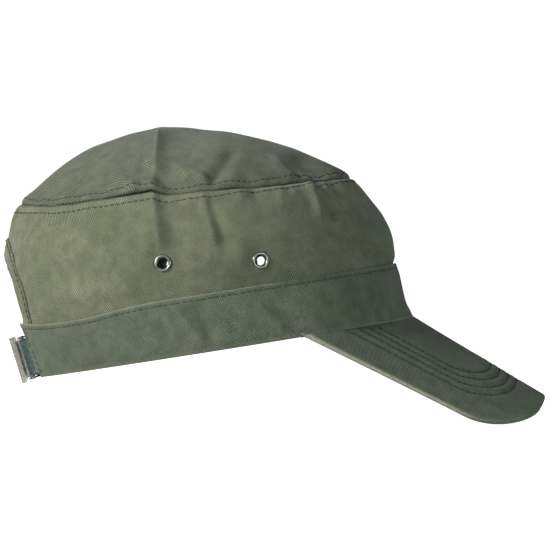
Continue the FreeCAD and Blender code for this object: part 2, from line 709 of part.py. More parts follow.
def turned(name, frame, points):
    """A ring turned about the frame's Z axis from a radius and height profile."""
    body = new_body(name, frame)
    sketch = new_sketch(body, f"{name}_profile", "XZ_Plane")
    add_polygon(sketch, points)
    turn = body.newObject("PartDesign::Revolution", f"{name}_turn")
    turn.Profile = sketch
    turn.ReferenceAxis = (sketch, ["V_Axis"])
    turn.Angle = 360


plain_wall = doc.getObject("crown_side_AdditiveLoft").Shape
hole = size("eyelet_hole_half")
barrel = size("eyelet_barrel_half")
flange = size("eyelet_flange_half")
edge = size("eyelet_edge")
over = size("eyelet_lift")
flange_top = f"{over} + Sizes.eyelet_flange_thickness"
inside = "-(Sizes.cloth + Sizes.washer_gap)"
washer_end = f"{inside} - Sizes.washer_thickness"
washer_hole = f"{barrel} + Sizes.washer_clear"
roll = f"{washer_end} - Sizes.washer_clear"
roll_end = f"{roll} - Sizes.eyelet_roll_thickness"
roll_half = f"{barrel} + Sizes.eyelet_roll_width"
for place in ("rear", "front"):
    for side_name, side in (("right", -1), ("left", 1)):
        spot = wall_frame(value(size(f"eyelet_{place}_x")), value(size(f"eyelet_{place}_z")), side)
        turned(f"eyelet_{side_name}_{place}", spot, [
            (hole, roll_end), (roll_half, roll_end), (roll_half, roll), (barrel, roll),
            (barrel, over), (flange, over), (flange, f"{flange_top} - {edge}"),
            (f"{flange} - {edge}", flange_top), (f"{hole} + {edge}", flange_top),
            (hole, f"{flange_top} - {edge}")])
        turned(f"washer_{side_name}_{place}", spot, [
            (washer_hole, washer_end), (size("washer_half"), washer_end),
            (size("washer_half"), inside), (washer_hole, inside)])
doc.recompute()

# ---------------------------------------------------------------- place, check and export

# The cap leans back until its clasp and its visor's side edges stand on one plane, and the
# model's origin is the middle of its bounding box, on that plane.
lean_back = Placement(Vector(), rot_y(-value("Sizes.rest_tilt")))


def place_all(rest):
    for body, own_frame in subparts.values():
        body.Placement = rest * own_frame
    doc.recompute()


def model_box():
    box = FreeCAD.BoundBox()
    for body, _ in subparts.values():
        box.add(body.Shape.optimalBoundingBox(False, False))
    return box


place_all(lean_back)
broken = [item.Name for item in doc.Objects if {"Invalid", "Error"} & set(item.State)]
broken += [name for name, (body, _) in subparts.items() if body.Shape.isNull()]
if broken:
    raise RuntimeError("did not build: " + ", ".join(broken))
box = model_box()
REST = Placement(Vector(-box.Center.x, -box.Center.y, -box.ZMin), Rotation()) * lean_back
place_all(REST)

os.makedirs("parts", exist_ok=True)
for name, (body, _) in subparts.items():
    shape = body.Shape
    if shape.isNull() or not shape.isValid() or shape.Volume <= 0:
        raise RuntimeError(f"{name} is not a valid solid")
    shape.exportStep(f"parts/{name}.step")
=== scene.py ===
import json
import math

import bpy
import numpy as np
from mathutils import Matrix, Vector


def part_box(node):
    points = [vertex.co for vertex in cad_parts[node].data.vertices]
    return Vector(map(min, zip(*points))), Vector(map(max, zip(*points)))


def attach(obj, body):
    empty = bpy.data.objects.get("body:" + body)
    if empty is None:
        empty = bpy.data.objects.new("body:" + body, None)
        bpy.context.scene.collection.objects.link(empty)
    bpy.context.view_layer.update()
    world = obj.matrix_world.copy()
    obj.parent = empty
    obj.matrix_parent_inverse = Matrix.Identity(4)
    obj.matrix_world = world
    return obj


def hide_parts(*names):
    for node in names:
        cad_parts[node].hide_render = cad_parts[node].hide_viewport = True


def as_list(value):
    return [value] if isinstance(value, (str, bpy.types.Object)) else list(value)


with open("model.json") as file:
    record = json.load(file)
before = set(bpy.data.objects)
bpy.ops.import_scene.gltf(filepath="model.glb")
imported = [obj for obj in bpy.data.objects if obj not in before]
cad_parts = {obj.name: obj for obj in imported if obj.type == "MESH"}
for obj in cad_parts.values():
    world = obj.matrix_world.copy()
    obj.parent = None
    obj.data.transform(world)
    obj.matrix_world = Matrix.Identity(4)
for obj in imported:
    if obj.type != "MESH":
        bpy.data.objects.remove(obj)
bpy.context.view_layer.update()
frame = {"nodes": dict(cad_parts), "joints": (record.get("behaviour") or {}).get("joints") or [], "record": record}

# A soft olive twill field cap. The shapes are worked out in the cap's own frame, in millimetres:
# X forward, Y to the wearer's left, Z up out of the crown, origin in the middle of the head opening.
# The record's head_opening mount says where that frame stands in the model.

MM = 0.001
OPENING = next(m for m in frame["record"]["mounts"] if m["name"] == "head_opening")
ORIGIN = np.array(OPENING["pos_m"])
UP = -np.array(OPENING["axis"])
UP /= np.linalg.norm(UP)
LEFT = np.array([0.0, 1.0, 0.0])
FORWARD = np.cross(LEFT, UP)
TO_MODEL = np.stack([FORWARD, LEFT, UP])


def to_model(points):
    """Points in the cap's frame in millimetres, as model points in metres."""
    return ORIGIN + MM * np.asarray(points) @ TO_MODEL


def to_cap(points):
    """Model points in metres, as points in the cap's frame in millimetres."""
    return (np.asarray(points) - ORIGIN) @ TO_MODEL.T / MM


def node_centre(node):
    low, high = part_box(node)
    return to_cap((np.array(low) + np.array(high)) / 2)


# ---------------------------------------------------------------- driving shapes, in millimetres

# each row: front x, front z, rear x, rear z, half width, of one oval
WALL = np.array([
    [93.0, 26.0, -104.4, 26.0, 82.0],
    [95.5, 30.6, -103.9, 30.6, 84.0],
    [96.9, 38.0, -105.0, 38.8, 85.4],
    [96.3, 46.5, -105.6, 47.7, 85.6],
    [93.4, 55.2, -105.2, 57.5, 84.2],
    [87.9, 64.3, -102.4, 67.5, 80.8],
    [83.8, 70.8, -98.0, 79.4, 76.9],
    [80.2, 76.5, -91.6, 90.3, 72.5]])
DOME = np.array([
    [80.2, 76.5, -91.6, 90.3, 72.5],
    [75.7, 81.0, -87.6, 93.6, 68.6],
    [64.4, 89.2, -78.0, 100.6, 59.6],
    [53.0, 96.5, -66.9, 106.3, 50.4],
    [41.3, 102.2, -58.5, 110.0, 42.0],
    [27.6, 108.0, -48.5, 113.6, 32.2],
    [11.5, 112.6, -36.0, 116.0, 21.0],
    [-2.0, 116.3, -24.5, 117.2, 10.0],
    [-12.0, 117.5, -16.0, 117.6, 1.8]])
OVAL_END = 0.9
BAND_HEIGHT = 29.2
BAND_LEAN = math.tan(math.radians(8.0))
BAND_SHIFT = -1.5
BAND_HALF_LENGTH = 100.6
BAND_HALF_WIDTH = (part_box("band_outer")[1].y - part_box("band_outer")[0].y) / 2 / MM
BAND_GAP_HALF = 28.1
CLOTH = 1.2
VISOR_FRONT = 101.0
VISOR_DROP = math.radians(40.0)
VISOR_ARCH = 97.0
VISOR_REACH = 79.6
VISOR_FRONT_RADIUS = 600.0
VISOR_CORNER_RADIUS = 36.0
VISOR_FRONT_HALF = 69.7
VISOR_BACK_HALF = 76.1
VISOR_BACK_REACH = 47.0
VISOR_THICKNESS = 2.4
VISOR_COVER = 0.45
VISOR_TUCK = 1.5               # how far the covers run in under the band
COVER_PUFF = 0.12              # how far they stand out from the CAD's faces
ARCH_HALF = 29.5
ARCH_RISE = 28.0
ARCH_CENTRE = 36.0
EYELET_HOLE = 3.4
SEAM_STITCH = 4.2              # how far the stitch rows beside the crown seam are from it
BAND_STITCH = 2.6              # and the band's row from its top edge
END_STITCH = 3.0               # and the rows at its rear ends from those ends

# how far the crown seam and the band's top edge hang below their planes: forward place, drop
SEAM_DROP = {-1: ([-92, -75, -62, -51, -35, -22, -14, 4, 28, 46, 54, 80],
                  [0, 2.8, 2.6, 2.0, 1.5, 0.9, 1.9, 1.7, 2.0, 1.7, 1.2, 0]),
             1: ([-92, -70, -48, -30, -8, 12, 38, 60, 80],
                 [0, 1.2, 2.4, 1.6, 0.8, 1.6, 2.2, 1.0, 0])}
BAND_DROP = {-1: ([-102, -89, -75, -61, -45, -30], [0, 2.4, 3.0, 2.6, 0.8, 0]),
             1: ([-102, -88, -70, -52, -30], [0, 1.2, 2.2, 1.4, 0])}


# ---------------------------------------------------------------- small maths

def smooth_noise(u, v, seed, wrap):
    """Value noise on unit cells, from -1 to 1; u repeats every wrap cells."""
    table = np.random.default_rng(seed).uniform(-1, 1, (wrap, 64))
    i = np.floor(u).astype(int)
    j = np.floor(v).astype(int)
    fu = u - i
    fv = v - j
    fu = fu * fu * (3 - 2 * fu)
    fv = fv * fv * (3 - 2 * fv)
    near = table[i % wrap, j % 64] * (1 - fu) + table[(i + 1) % wrap, j % 64] * fu
    far = table[i % wrap, (j + 1) % 64] * (1 - fu) + table[(i + 1) % wrap, (j + 1) % 64] * fu
    return near * (1 - fv) + far * fv


def round_noise(turn, cells, v, seed):
    """Value noise that goes once round the cap without a seam."""
    return smooth_noise(np.mod(turn, 1) * cells, v, seed, cells)


def spline(knots, values, x):
    """Catmull-Rom curve through the rows of values at the knots."""
    slopes = np.gradient(values, knots, axis=0)
    i = np.clip(np.searchsorted(knots, x, side="right") - 1, 0, len(knots) - 2)
    step = (knots[i + 1] - knots[i])[..., None]
    f = ((x - knots[i]) / (knots[i + 1] - knots[i]))[..., None]
    f2, f3 = f * f, f * f * f
    return ((2 * f3 - 3 * f2 + 1) * values[i] + (f3 - 2 * f2 + f) * step * slopes[i]
            + (3 * f2 - 2 * f3) * values[i + 1] + (f3 - f2) * step * slopes[i + 1])


def smoothstep(edge0, edge1, x):
    f = np.clip((x - edge0) / (edge1 - edge0), 0, 1)
    return f * f * (3 - 2 * f)


def bell(x, width):
    return np.exp(-(x / width) ** 2)


def oval(turn, half_length, half_width):
    """A point of a four-arc oval, the turn running evenly along it from +X towards +Y."""
    a, b = half_length, half_width
    r = OVAL_END * b
    drop = ((a - r) ** 2 - (b - r) ** 2) / (2 * (b - r))
    side = b + drop
    angle = np.arctan2(drop, a - r)
    end_run = r * angle
    quarter = end_run + side * (np.pi / 2 - angle)
    turn = np.mod(turn, 1.0) * 4
    k = np.floor(turn).astype(int) % 4
    f = turn - np.floor(turn)
    run = np.where(k % 2 == 0, f, 1 - f) * quarter
    on_end = run < end_run
    phi = np.where(on_end, run / r, angle + (run - end_run) / side)
    x = np.where(on_end, a - r + r * np.cos(phi), side * np.cos(phi))
    y = np.where(on_end, r * np.sin(phi), side * np.sin(phi) - drop)
    return x * np.where((k == 1) | (k == 2), -1, 1), y * np.where(k >= 2, -1, 1), 4 * quarter


def oval_rows(rows, turn):
    """Points on the ovals that the rows describe."""
    front_x, front_z, rear_x, rear_z, half = (rows[..., i] for i in range(5))
    x, y, length = oval(turn, (front_x - rear_x) / 2, half)
    slope = (front_z - rear_z) / (front_x - rear_x)
    points = np.stack([x + (front_x + rear_x) / 2, y, (front_z + rear_z) / 2 + slope * x], -1)
    return points, length


def run_length(rows):
    middle = np.stack([(rows[:, 0] - rows[:, 2]) / 2, (rows[:, 1] + rows[:, 3]) / 2], -1)
    return np.concatenate([[0], np.cumsum(np.linalg.norm(np.diff(middle, axis=0), axis=1))])


def hang(points, table, weight):
    """Lower the points by a table of drops, which differs between the right and left sides."""
    x, y = points[..., 0], points[..., 1]
    drop = np.where(y < 0, np.interp(x, *table[-1]), np.interp(x, *table[1]))
    lowered = points.copy()
    lowered[..., 2] -= drop * weight * smoothstep(0, 12, np.abs(y))
    return lowered


# ---------------------------------------------------------------- surfaces of the crown and band

WALL_RUN = run_length(WALL)
DOME_RUN = run_length(DOME)
WALL_HEIGHT = WALL_RUN[-1]
DOME_HEIGHT = DOME_RUN[-1]
SEAM_LENGTH = float(oval(np.array(0.0), (WALL[-1, 0] - WALL[-1, 2]) / 2, WALL[-1, 4])[2])


def fold(points, start, end, width, height, side):
    """A rounded ridge (or, below zero, a valley) along a line in side view."""
    x, z = points[..., 0], points[..., 2]
    along = np.array(end, float) - np.array(start, float)
    length = np.linalg.norm(along)
    along /= length
    t = (x - start[0]) * along[0] + (z - start[1]) * along[1]
    across = np.abs((x - start[0]) * along[1] - (z - start[1]) * along[0])
    beyond = np.maximum(np.maximum(-t, t - length), 0)
    reach = 1 / (1 + np.exp(np.clip(side * points[..., 1] / -4, -30, 30)))
    return height * np.exp(-(across / width) ** 2 - (beyond / (1.6 * width)) ** 2) * reach


# ridge and valley lines in side view: start, end, width, height, side (-1 right, 1 left, 0 both)
WALL_FOLDS = [
    ((2.7, 84.0), (6.0, 60.0), 3.2, 1.1, -1),
    ((4.5, 77.0), (10.5, 54.0), 4.5, -1.0, -1),
    ((-16.6, 80.0), (-14.6, 57.0), 5.0, -0.7, -1),
    ((57.0, 76.0), (60.5, 61.0), 2.2, 1.0, -1),
    ((61.5, 75.0), (66.5, 60.0), 2.6, -0.9, -1),
    ((67.0, 72.5), (72.0, 63.0), 2.2, 0.6, -1),
    ((69.5, 70.5), (80.5, 54.0), 3.2, -1.2, -1),
    ((24.0, 71.0), (38.0, 69.0), 6.0, 0.7, -1),
    ((-78.3, 39.5), (-44.0, 37.0), 4.0, 0.8, -1),
    ((-90.5, 50.0), (-85.0, 35.0), 2.6, 0.7, -1),
    ((82.0, 35.5), (91.3, 31.5), 2.4, -0.9, -1),
    ((84.0, 39.0), (91.0, 34.0), 2.6, 0.7, -1),
    ((20.0, 82.0), (14.0, 58.0), 3.6, 1.0, 1),
    ((30.0, 80.0), (23.0, 56.0), 4.6, -1.0, 1),
    ((-40.0, 80.0), (-52.0, 52.0), 4.0, 0.9, 1),
    ((-58.0, 80.0), (-66.0, 60.0), 3.4, -0.8, 1),
    ((66.0, 73.0), (76.0, 58.0), 3.0, -1.0, 1),
    ((-20.0, 36.0), (18.0, 34.0), 4.5, 0.6, 1)]
DOME_FOLDS = [
    ((-5.3, 93.5), (4.2, 87.5), 2.8, 1.2, -1),
    ((-17.0, 90.0), (-24.0, 96.0), 3.0, -0.9, -1),
    ((-31.0, 88.5), (-36.0, 94.0), 3.0, 0.8, -1),
    ((12.0, 87.0), (19.0, 95.0), 3.4, -0.8, -1),
    ((48.0, 82.0), (44.0, 88.0), 3.0, 0.7, -1),
    ((64.0, 80.0), (56.0, 88.0), 3.4, -0.8, -1),
    ((20.0, 86.0), (12.0, 98.0), 3.6, 1.0, 1),
    ((-34.0, 90.0), (-30.0, 102.0), 3.6, -1.0, 1)]
BAND_FOLDS = [
    ((-17.8, 23.0), (-8.4, 7.0), 2.6, 0.75, -1),
    ((-8.0, 23.0), (-3.4, 9.0), 2.8, -0.7, -1),
    ((24.0, 17.0), (31.0, 8.0), 2.8, 0.6, -1),
    ((-26.0, 14.0), (-20.0, 5.0), 3.0, -0.45, -1),
    ((72.0, 23.0), (71.0, 12.0), 1.8, -0.5, -1),
    ((80.8, 24.0), (80.0, 11.0), 1.5, 0.6, -1),
    ((85.4, 24.0), (84.8, 12.0), 1.4, 0.55, -1),
    ((76.5, 23.0), (75.8, 12.0), 1.5, 0.45, -1),
    ((-30.0, 22.0), (-22.0, 8.0), 3.0, 0.6, 1),
    ((40.0, 20.0), (46.0, 8.0), 3.0, -0.6, 1)]


FOLD_DEPTH = 2.3               # what all the fold heights are multiplied by
WALL_CREASE = 2.2
DOME_CREASE = 2.6


def sum_folds(points, folds):
    total = np.zeros(points.shape[:-1])
    for start, end, width, height, side in folds:
        total += fold(points, start, end, width, height, side)
    return total


def crease_line(points):
    """How far each point is in front of the sharp packaging crease that runs down both sides."""
    x, z = points[..., 0], points[..., 2]
    return x - np.interp(z, [40, 56, 71, 86, 118], [-23, -22.5, -21.5, -21, -13.6])


def crease(points, height):
    """The crease's raised edge, with a wide slope behind it and a valley in front of it."""
    across = crease_line(points)
    fade = smoothstep(44, 60, points[..., 2]) * (0.2 + 0.8 * smoothstep(6, 30, np.abs(points[..., 1])))
    behind = np.exp(np.minimum(across, 0) / 17.0)
    ahead = 1.5 * np.exp(-np.maximum(across, 0) / 5.0) - 0.5 * bell(across - 9, 14)
    return height * fade * np.where(across < 0, behind * (1.5 - 0.5 * bell(9, 14)), ahead)


def crease_wear(points):
    return 0.5 * bell(crease_line(points), 1.2) * smoothstep(44, 60, points[..., 2])


EYELET_PLACES = [f"{side}_{end}" for side in ("right", "left") for end in ("rear", "front")]
EYELETS = [node_centre(f"eyelet_{place}") for place in EYELET_PLACES]
EYELET_MIDDLE_DEPTH = 0.9      # how far the middle of an eyelet lies inside the wall's outer face


def ripple(turn, seed, spacing, length=SEAM_LENGTH):
    """Uneven ripples that run along a seam."""
    cells = int(length / spacing)
    return round_noise(turn, cells, np.zeros_like(turn), seed)


def wall_base(turn, v):
    rows = spline(WALL_RUN, WALL, v * WALL_HEIGHT)
    points = oval_rows(rows, turn)[0]
    run = v * WALL_HEIGHT
    points = hang(points, BAND_DROP, bell(run, 13))
    return hang(points, SEAM_DROP, bell(WALL_HEIGHT - run, 17))


def wall_raise(turn, v, base):
    """How far the side wall's cloth stands out from its plain shape."""
    run = v * WALL_HEIGHT
    to_seam = WALL_HEIGHT - run
    free = smoothstep(0, 9, to_seam) * smoothstep(2, 12, run)
    broad = round_noise(turn, 13, run / 26, 3)
    finer = round_noise(turn, 29, run / 17, 5)
    small = round_noise(turn, 67, run / 8, 6)
    raised = free * (1.1 * broad + 0.6 * finer + 0.18 * small)
    puckers = ripple(turn, 7, 8.0) + 0.8 * ripple(turn, 8, 4.2)
    raised = raised + 0.75 * puckers * bell(to_seam - 5, 5)
    raised = raised + 0.3 * ripple(turn, 9, 9.0) * bell(run - 8, 5)
    raised = raised + FOLD_DEPTH * sum_folds(base, WALL_FOLDS) * smoothstep(-1, 4, to_seam)
    raised = raised + crease(base, WALL_CREASE)
    # the seam's layers make a low welt above the topstitch, which sinks into the cloth
    raised = raised + 0.3 * smoothstep(6.0, 4.0, to_seam) - 0.4 * bell(to_seam - SEAM_STITCH, 0.7)
    return raised - 1.6 * np.exp(-to_seam / 1.1)


def eyelet_pull(points, outward):
    """The shift that brings the cloth under each eyelet's flange."""
    shift = np.zeros(points.shape[:-1])
    for centre in EYELETS:
        offset = points - centre
        depth = np.sum(offset * outward, -1)
        away = np.linalg.norm(offset - depth[..., None] * outward, axis=-1)
        shift += (EYELET_MIDDLE_DEPTH - 0.15 - depth) * np.exp(-(away / 7.5) ** 4) \
            * (np.linalg.norm(offset, axis=-1) < 25)
    return shift


def normals_of(surface, turn, v, step=2e-4):
    across = surface(turn + step, v) - surface(turn - step, v)
    along = surface(turn, v + step) - surface(turn, v - step)
    normal = np.cross(across, along)
    return normal / np.maximum(np.linalg.norm(normal, axis=-1, keepdims=True), 1e-9)


def surface_row(surface, turn, v):
    """A path over a surface, and the surface's outward direction along it."""
    turn = np.asarray(turn, float)
    v = np.broadcast_to(np.asarray(v, float), turn.shape)
    return surface(turn, v), normals_of(surface, turn, v, 1e-3)


def raised_point(base_of, raise_of, turn, v):
    """A surface's points, moved out of its plain shape, and that shape's outward directions."""
    base = base_of(turn, v)
    outward = normals_of(base_of, turn, v)
    return base + outward * raise_of(turn, v, base)[..., None], outward


def wall_point(turn, v):
    point, outward = raised_point(wall_base, wall_raise, turn, v)
    return point + outward * eyelet_pull(point, outward)[..., None]


def dome_base(turn, v):
    rows = spline(DOME_RUN, DOME, v * DOME_HEIGHT)
    return hang(oval_rows(rows, turn)[0], SEAM_DROP, bell(v * DOME_HEIGHT, 15))


def dome_raise(turn, v, base):
    run = v * DOME_HEIGHT
    free = smoothstep(2, 12, run)
    broad = smooth_noise(base[..., 0] / 24 + 31.5, base[..., 1] / 26 + 17.3, 11, 64)
    finer = smooth_noise(base[..., 0] / 12 + 31.5, base[..., 1] / 14 + 17.3, 12, 64)
    raised = free * (1.0 * broad + 0.5 * finer)
    puckers = ripple(turn, 17, 8.0) + 0.7 * ripple(turn, 18, 4.5)
    raised = raised + 0.95 * puckers * bell(run - 4.5, 4.5)
    raised = raised + FOLD_DEPTH * sum_folds(base, DOME_FOLDS) * smoothstep(-1, 4, run)
    raised = raised + crease(base, DOME_CREASE)
    raised = raised + 0.25 * smoothstep(6.0, 4.0, run) - 0.35 * bell(run - SEAM_STITCH, 0.7)
    return raised - 1.6 * np.exp(-run / 1.1)


def dome_point(turn, v):
    return raised_point(dome_base, dome_raise, turn, v)[0]


def band_base(turn, v):
    height = v * BAND_HEIGHT
    x, y, _ = oval(turn, BAND_HALF_LENGTH, BAND_HALF_WIDTH)
    z = np.broadcast_to(height, np.shape(x))
    flare = 1.6 * smoothstep(8.0, 0.0, z) * smoothstep(62.0, 88.0, x)
    flare = flare + 1.2 * smoothstep(8.0, 26.0, z) * smoothstep(40.0, 90.0, x)
    points = np.stack([x + BAND_SHIFT - BAND_LEAN * z + flare, y, z], -1)
    return hang(points, BAND_DROP, smoothstep(6, BAND_HEIGHT, z))


def band_raise(turn, v, base):
    height = v * BAND_HEIGHT
    broad = round_noise(turn, 17, height / 20, 21)
    finer = round_noise(turn, 61, height / 26, 23)
    middle = smoothstep(0, 6, height) * smoothstep(BAND_HEIGHT, BAND_HEIGHT - 7, height)
    raised = middle * (0.45 * broad + 0.22 * finer + FOLD_DEPTH * sum_folds(base, BAND_FOLDS))
    from_top = BAND_HEIGHT - height
    raised = raised - 0.22 * bell(from_top - BAND_STITCH, 0.8)
    return raised - 0.2 * bell(height - 2.2, 0.8)


def band_point(turn, v):
    return raised_point(band_base, band_raise, turn, v)[0]


# ---------------------------------------------------------------- mesh helpers

def add_mesh(name, points, faces, uvs=None, wear_and_seam_shade=None, body="cap", slot="crown_cloth"):
    """A mesh piece from points in the cap's frame, with a UV per point and a value for pale wear above zero and
    painted seam shade below zero.
    """
    mesh = bpy.data.meshes.new(name)
    mesh.from_pydata(to_model(points).tolist(), [], faces)
    mesh.validate()
    if uvs is not None:
        layer = mesh.uv_layers.new(name="cloth")
        corners = np.zeros(len(mesh.loops), int)
        mesh.loops.foreach_get("vertex_index", corners)
        layer.data.foreach_set("uv", np.asarray(uvs, float)[corners].ravel())
    if wear_and_seam_shade is not None:
        attribute = mesh.attributes.new("wear_and_seam_shade", "FLOAT", "POINT")
        attribute.data.foreach_set("value", np.asarray(wear_and_seam_shade, float).ravel())
    mesh.shade_smooth()
    piece = bpy.data.objects.new(name, mesh)
    bpy.context.scene.collection.objects.link(piece)
    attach(piece, body)
    return piece


def dress(piece, material, *nodes):
    """Give a piece its material, and have it stand for the CAD nodes that are named."""
    piece.data.materials.clear()
    piece.data.materials.append(material)
    if nodes:
        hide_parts(*nodes)
    return piece


def grid_faces(rows, columns, closed_rows=False, closed_columns=False, keep=None):
    """Quads over a rows x columns grid of points, numbered row by row."""
    faces = []
    for i in range(rows if closed_rows else rows - 1):
        for j in range(columns if closed_columns else columns - 1):
            if keep is not None and not keep[i, j]:
                continue
            k = (i + 1) % rows
            m = (j + 1) % columns
            faces.append((i * columns + j, k * columns + j, k * columns + m, i * columns + m))
    return faces


def drop_loose(points, faces, *others):
    """Leave out the points that no face uses."""
    used = np.unique(np.array([i for face in faces for i in face]))
    place = np.full(len(points), -1)
    place[used] = np.arange(len(used))
    moved = [tuple(int(place[i]) for i in face) for face in faces]
    return points[used], moved, [other[used] for other in others]


def thicken(piece, thickness):
    """Give an open sheet its cloth thickness, inwards."""
    solid = piece.modifiers.new("thickness", "SOLIDIFY")
    solid.thickness = thickness * MM
    solid.offset = -1
    solid.use_even_offset = False
    return piece


def sheet_piece(name, surface, turns, vs, flat_uv, wear_and_seam_shade, hole=None, cap_end=False):
    """A closed ring of cloth over a surface of (turn, v), if need be with holes or a closed top."""
    turn, v = np.meshgrid(turns, vs, indexing="ij")
    points = surface(turn, v)
    keep = None
    if hole is not None:
        follow = np.roll(points, -1, axis=0)
        keep = ~hole((points[:, :-1] + points[:, 1:] + follow[:, :-1] + follow[:, 1:]) / 4)
    faces = grid_faces(len(turns), len(vs), closed_rows=True, keep=keep)
    uv = flat_uv(turn, v, points).reshape(-1, 2) * MM
    worn = wear_and_seam_shade(v, points).ravel()
    flat = points.reshape(-1, 3)
    if cap_end:
        count = len(vs)
        faces.append(tuple(i * count + count - 1 for i in range(len(turns))))
    flat, faces, (uv, worn) = drop_loose(flat, faces, uv, worn)
    return thicken(add_mesh(name, flat, faces, uv, worn), CLOTH)


def closed_strip(name, loop_points, uvs, wear_and_seam_shade=None, ring=False, **where):
    """A solid strip: stations x profile points, the profile a closed loop, the ends joined or capped."""
    stations, count = loop_points.shape[:2]
    faces = grid_faces(stations, count, closed_rows=ring, closed_columns=True)
    faces = [tuple(reversed(face)) for face in faces]
    if not ring:
        faces.append(tuple(range(count)))
        faces.append(tuple(reversed(range((stations - 1) * count, stations * count))))
    worn = np.zeros(stations * count) if wear_and_seam_shade is None else wear_and_seam_shade.ravel()
    return add_mesh(name, loop_points.reshape(-1, 3), faces, uvs.reshape(-1, 2), worn, **where)


def profile_strip(name, profile, place, ring=False, **where):
    """A solid strip from its profile: place(index, *row) gives one row's points along the strip, their places on
    the flat cloth in millimetres, and their values for wear and painted seam shade."""
    rows = [place(index, *row) for index, row in enumerate(profile)]
    points, flats, wear_and_seam_shade = (np.stack(part, 1) for part in zip(*rows))
    return closed_strip(name, points, flats * MM, wear_and_seam_shade, ring, **where)


def tube_along(points, radius, sides=6):
    """Points and faces of closed round tubes; points is tubes x stations x 3."""
    tubes, stations = points.shape[:2]
    tangent = np.gradient(points, axis=1)
    tangent /= np.maximum(np.linalg.norm(tangent, axis=-1, keepdims=True), 1e-9)
    helper = np.where(np.abs(tangent[..., 2:3]) > 0.8, [1.0, 0, 0], [0, 0, 1.0])
    side = np.cross(tangent, helper)
    side /= np.linalg.norm(side, axis=-1, keepdims=True)
    lift = np.cross(side, tangent)
    angles = np.linspace(0, 2 * np.pi, sides, endpoint=False)
    ring = (np.cos(angles)[:, None] * side[..., None, :] + np.sin(angles)[:, None] * lift[..., None, :])
    radii = radius if np.ndim(radius) else np.full(stations, radius)
    skin = points[..., None, :] + ring * radii[None, :, None, None]
    faces = []
    for t in range(tubes):
        first = t * stations * sides
        for i in range(stations - 1):
            for j in range(sides):
                k = (j + 1) % sides
                faces.append((first + i * sides + j, first + i * sides + k,
                              first + (i + 1) * sides + k, first + (i + 1) * sides + j))
        faces.append(tuple(first + j for j in reversed(range(sides))))
        faces.append(tuple(first + (stations - 1) * sides + j for j in range(sides)))
    return skin.reshape(-1, 3), faces


THREAD = 0.24
HEAVY_THREAD = 0.3
STITCH = 2.5
STITCH_GAP = 0.75
QUILTING = 2.7


def stitches(name, path, outward, seed, stitch=STITCH, thickness=THREAD):
    """Thread dashes along a path that lies on the cloth; outward is its normal."""
    steps = np.linalg.norm(np.diff(path, axis=0), axis=1)
    run = np.concatenate([[0], np.cumsum(steps)])
    count = max(1, int(run[-1] / (stitch + STITCH_GAP)))
    pitch = run[-1] / count
    jitter = np.random.default_rng(seed).uniform(-0.12, 0.12, (count, 1))
    stations = np.linspace(0, 1, 6)
    first = np.arange(count)[:, None] * pitch + STITCH_GAP / 2 + jitter
    places = first + stations * (pitch - STITCH_GAP)
    bow = np.sin(np.pi * np.clip(stations, 0, 1)) ** 0.5
    centre = np.stack([np.interp(places, run, path[:, i]) for i in range(3)], -1)
    normal = np.stack([np.interp(places, run, outward[:, i]) for i in range(3)], -1)
    normal /= np.linalg.norm(normal, axis=-1, keepdims=True)
    centre = centre + normal * (thickness * (1.0 * bow[None, :, None] - 0.35))
    points, faces = tube_along(centre, thickness * (0.55 + 0.45 * bow))
    return dress(add_mesh(name, points, faces, slot="thread"), thread)


# ---------------------------------------------------------------- materials

def set_inputs(node, values):
    for name, value in values.items():
        node.inputs[name].default_value = value


def node_tree(name):
    material = bpy.data.materials.new(name)
    material.use_nodes = True
    tree = material.node_tree
    shader = tree.nodes["Principled BSDF"]
    return material, tree, shader


def link(tree, source, socket):
    tree.links.new(source, socket)


def math_node(tree, operation, first, second=None):
    node = tree.nodes.new("ShaderNodeMath")
    node.operation = operation
    for socket, item in zip(node.inputs, (first, second)):
        if item is None:
            continue
        if isinstance(item, (int, float)):
            socket.default_value = item
        else:
            link(tree, item, socket)
    return node.outputs[0]


def times(tree, first, second):
    return math_node(tree, "MULTIPLY", first, second)


def plus(tree, first, second):
    return math_node(tree, "ADD", first, second)


def object_place(tree):
    """Where a point is on its piece, which stays the same when the piece moves."""
    return tree.nodes.new("ShaderNodeTexCoord").outputs["Object"]


def scale_and_lift(tree, source, factor, lift):
    return plus(tree, times(tree, source, factor), lift)


def noise_node(tree, vector, scale, detail=2.0, roughness=0.5):
    node = tree.nodes.new("ShaderNodeTexNoise")
    set_inputs(node, {"Scale": scale, "Detail": detail, "Roughness": roughness})
    link(tree, vector, node.inputs["Vector"])
    return node.outputs["Fac"]


def ramp_node(tree, factor, stops):
    node = tree.nodes.new("ShaderNodeValToRGB")
    while len(node.color_ramp.elements) < len(stops):
        node.color_ramp.elements.new(0.5)
    for element, (place, colour) in zip(node.color_ramp.elements, stops):
        element.position = place
        element.color = (*colour, 1)
    link(tree, factor, node.inputs["Fac"])
    return node.outputs["Color"]


def mix_colour(tree, factor, first, second, blend="MIX"):
    node = tree.nodes.new("ShaderNodeMix")
    node.data_type = "RGBA"
    node.blend_type = blend
    for socket, item in ((node.inputs[0], factor), (node.inputs[6], first), (node.inputs[7], second)):
        if isinstance(item, (int, float)):
            socket.default_value = item
        elif isinstance(item, tuple):
            socket.default_value = (*item, 1)
        else:
            link(tree, item, socket)
    return node.outputs[2]


def bump_node(tree, height, strength, distance, normal=None):
    node = tree.nodes.new("ShaderNodeBump")
    set_inputs(node, {"Strength": strength, "Distance": distance})
    link(tree, height, node.inputs["Height"])
    if normal is not None:
        link(tree, normal, node.inputs["Normal"])
    return node.outputs["Normal"]


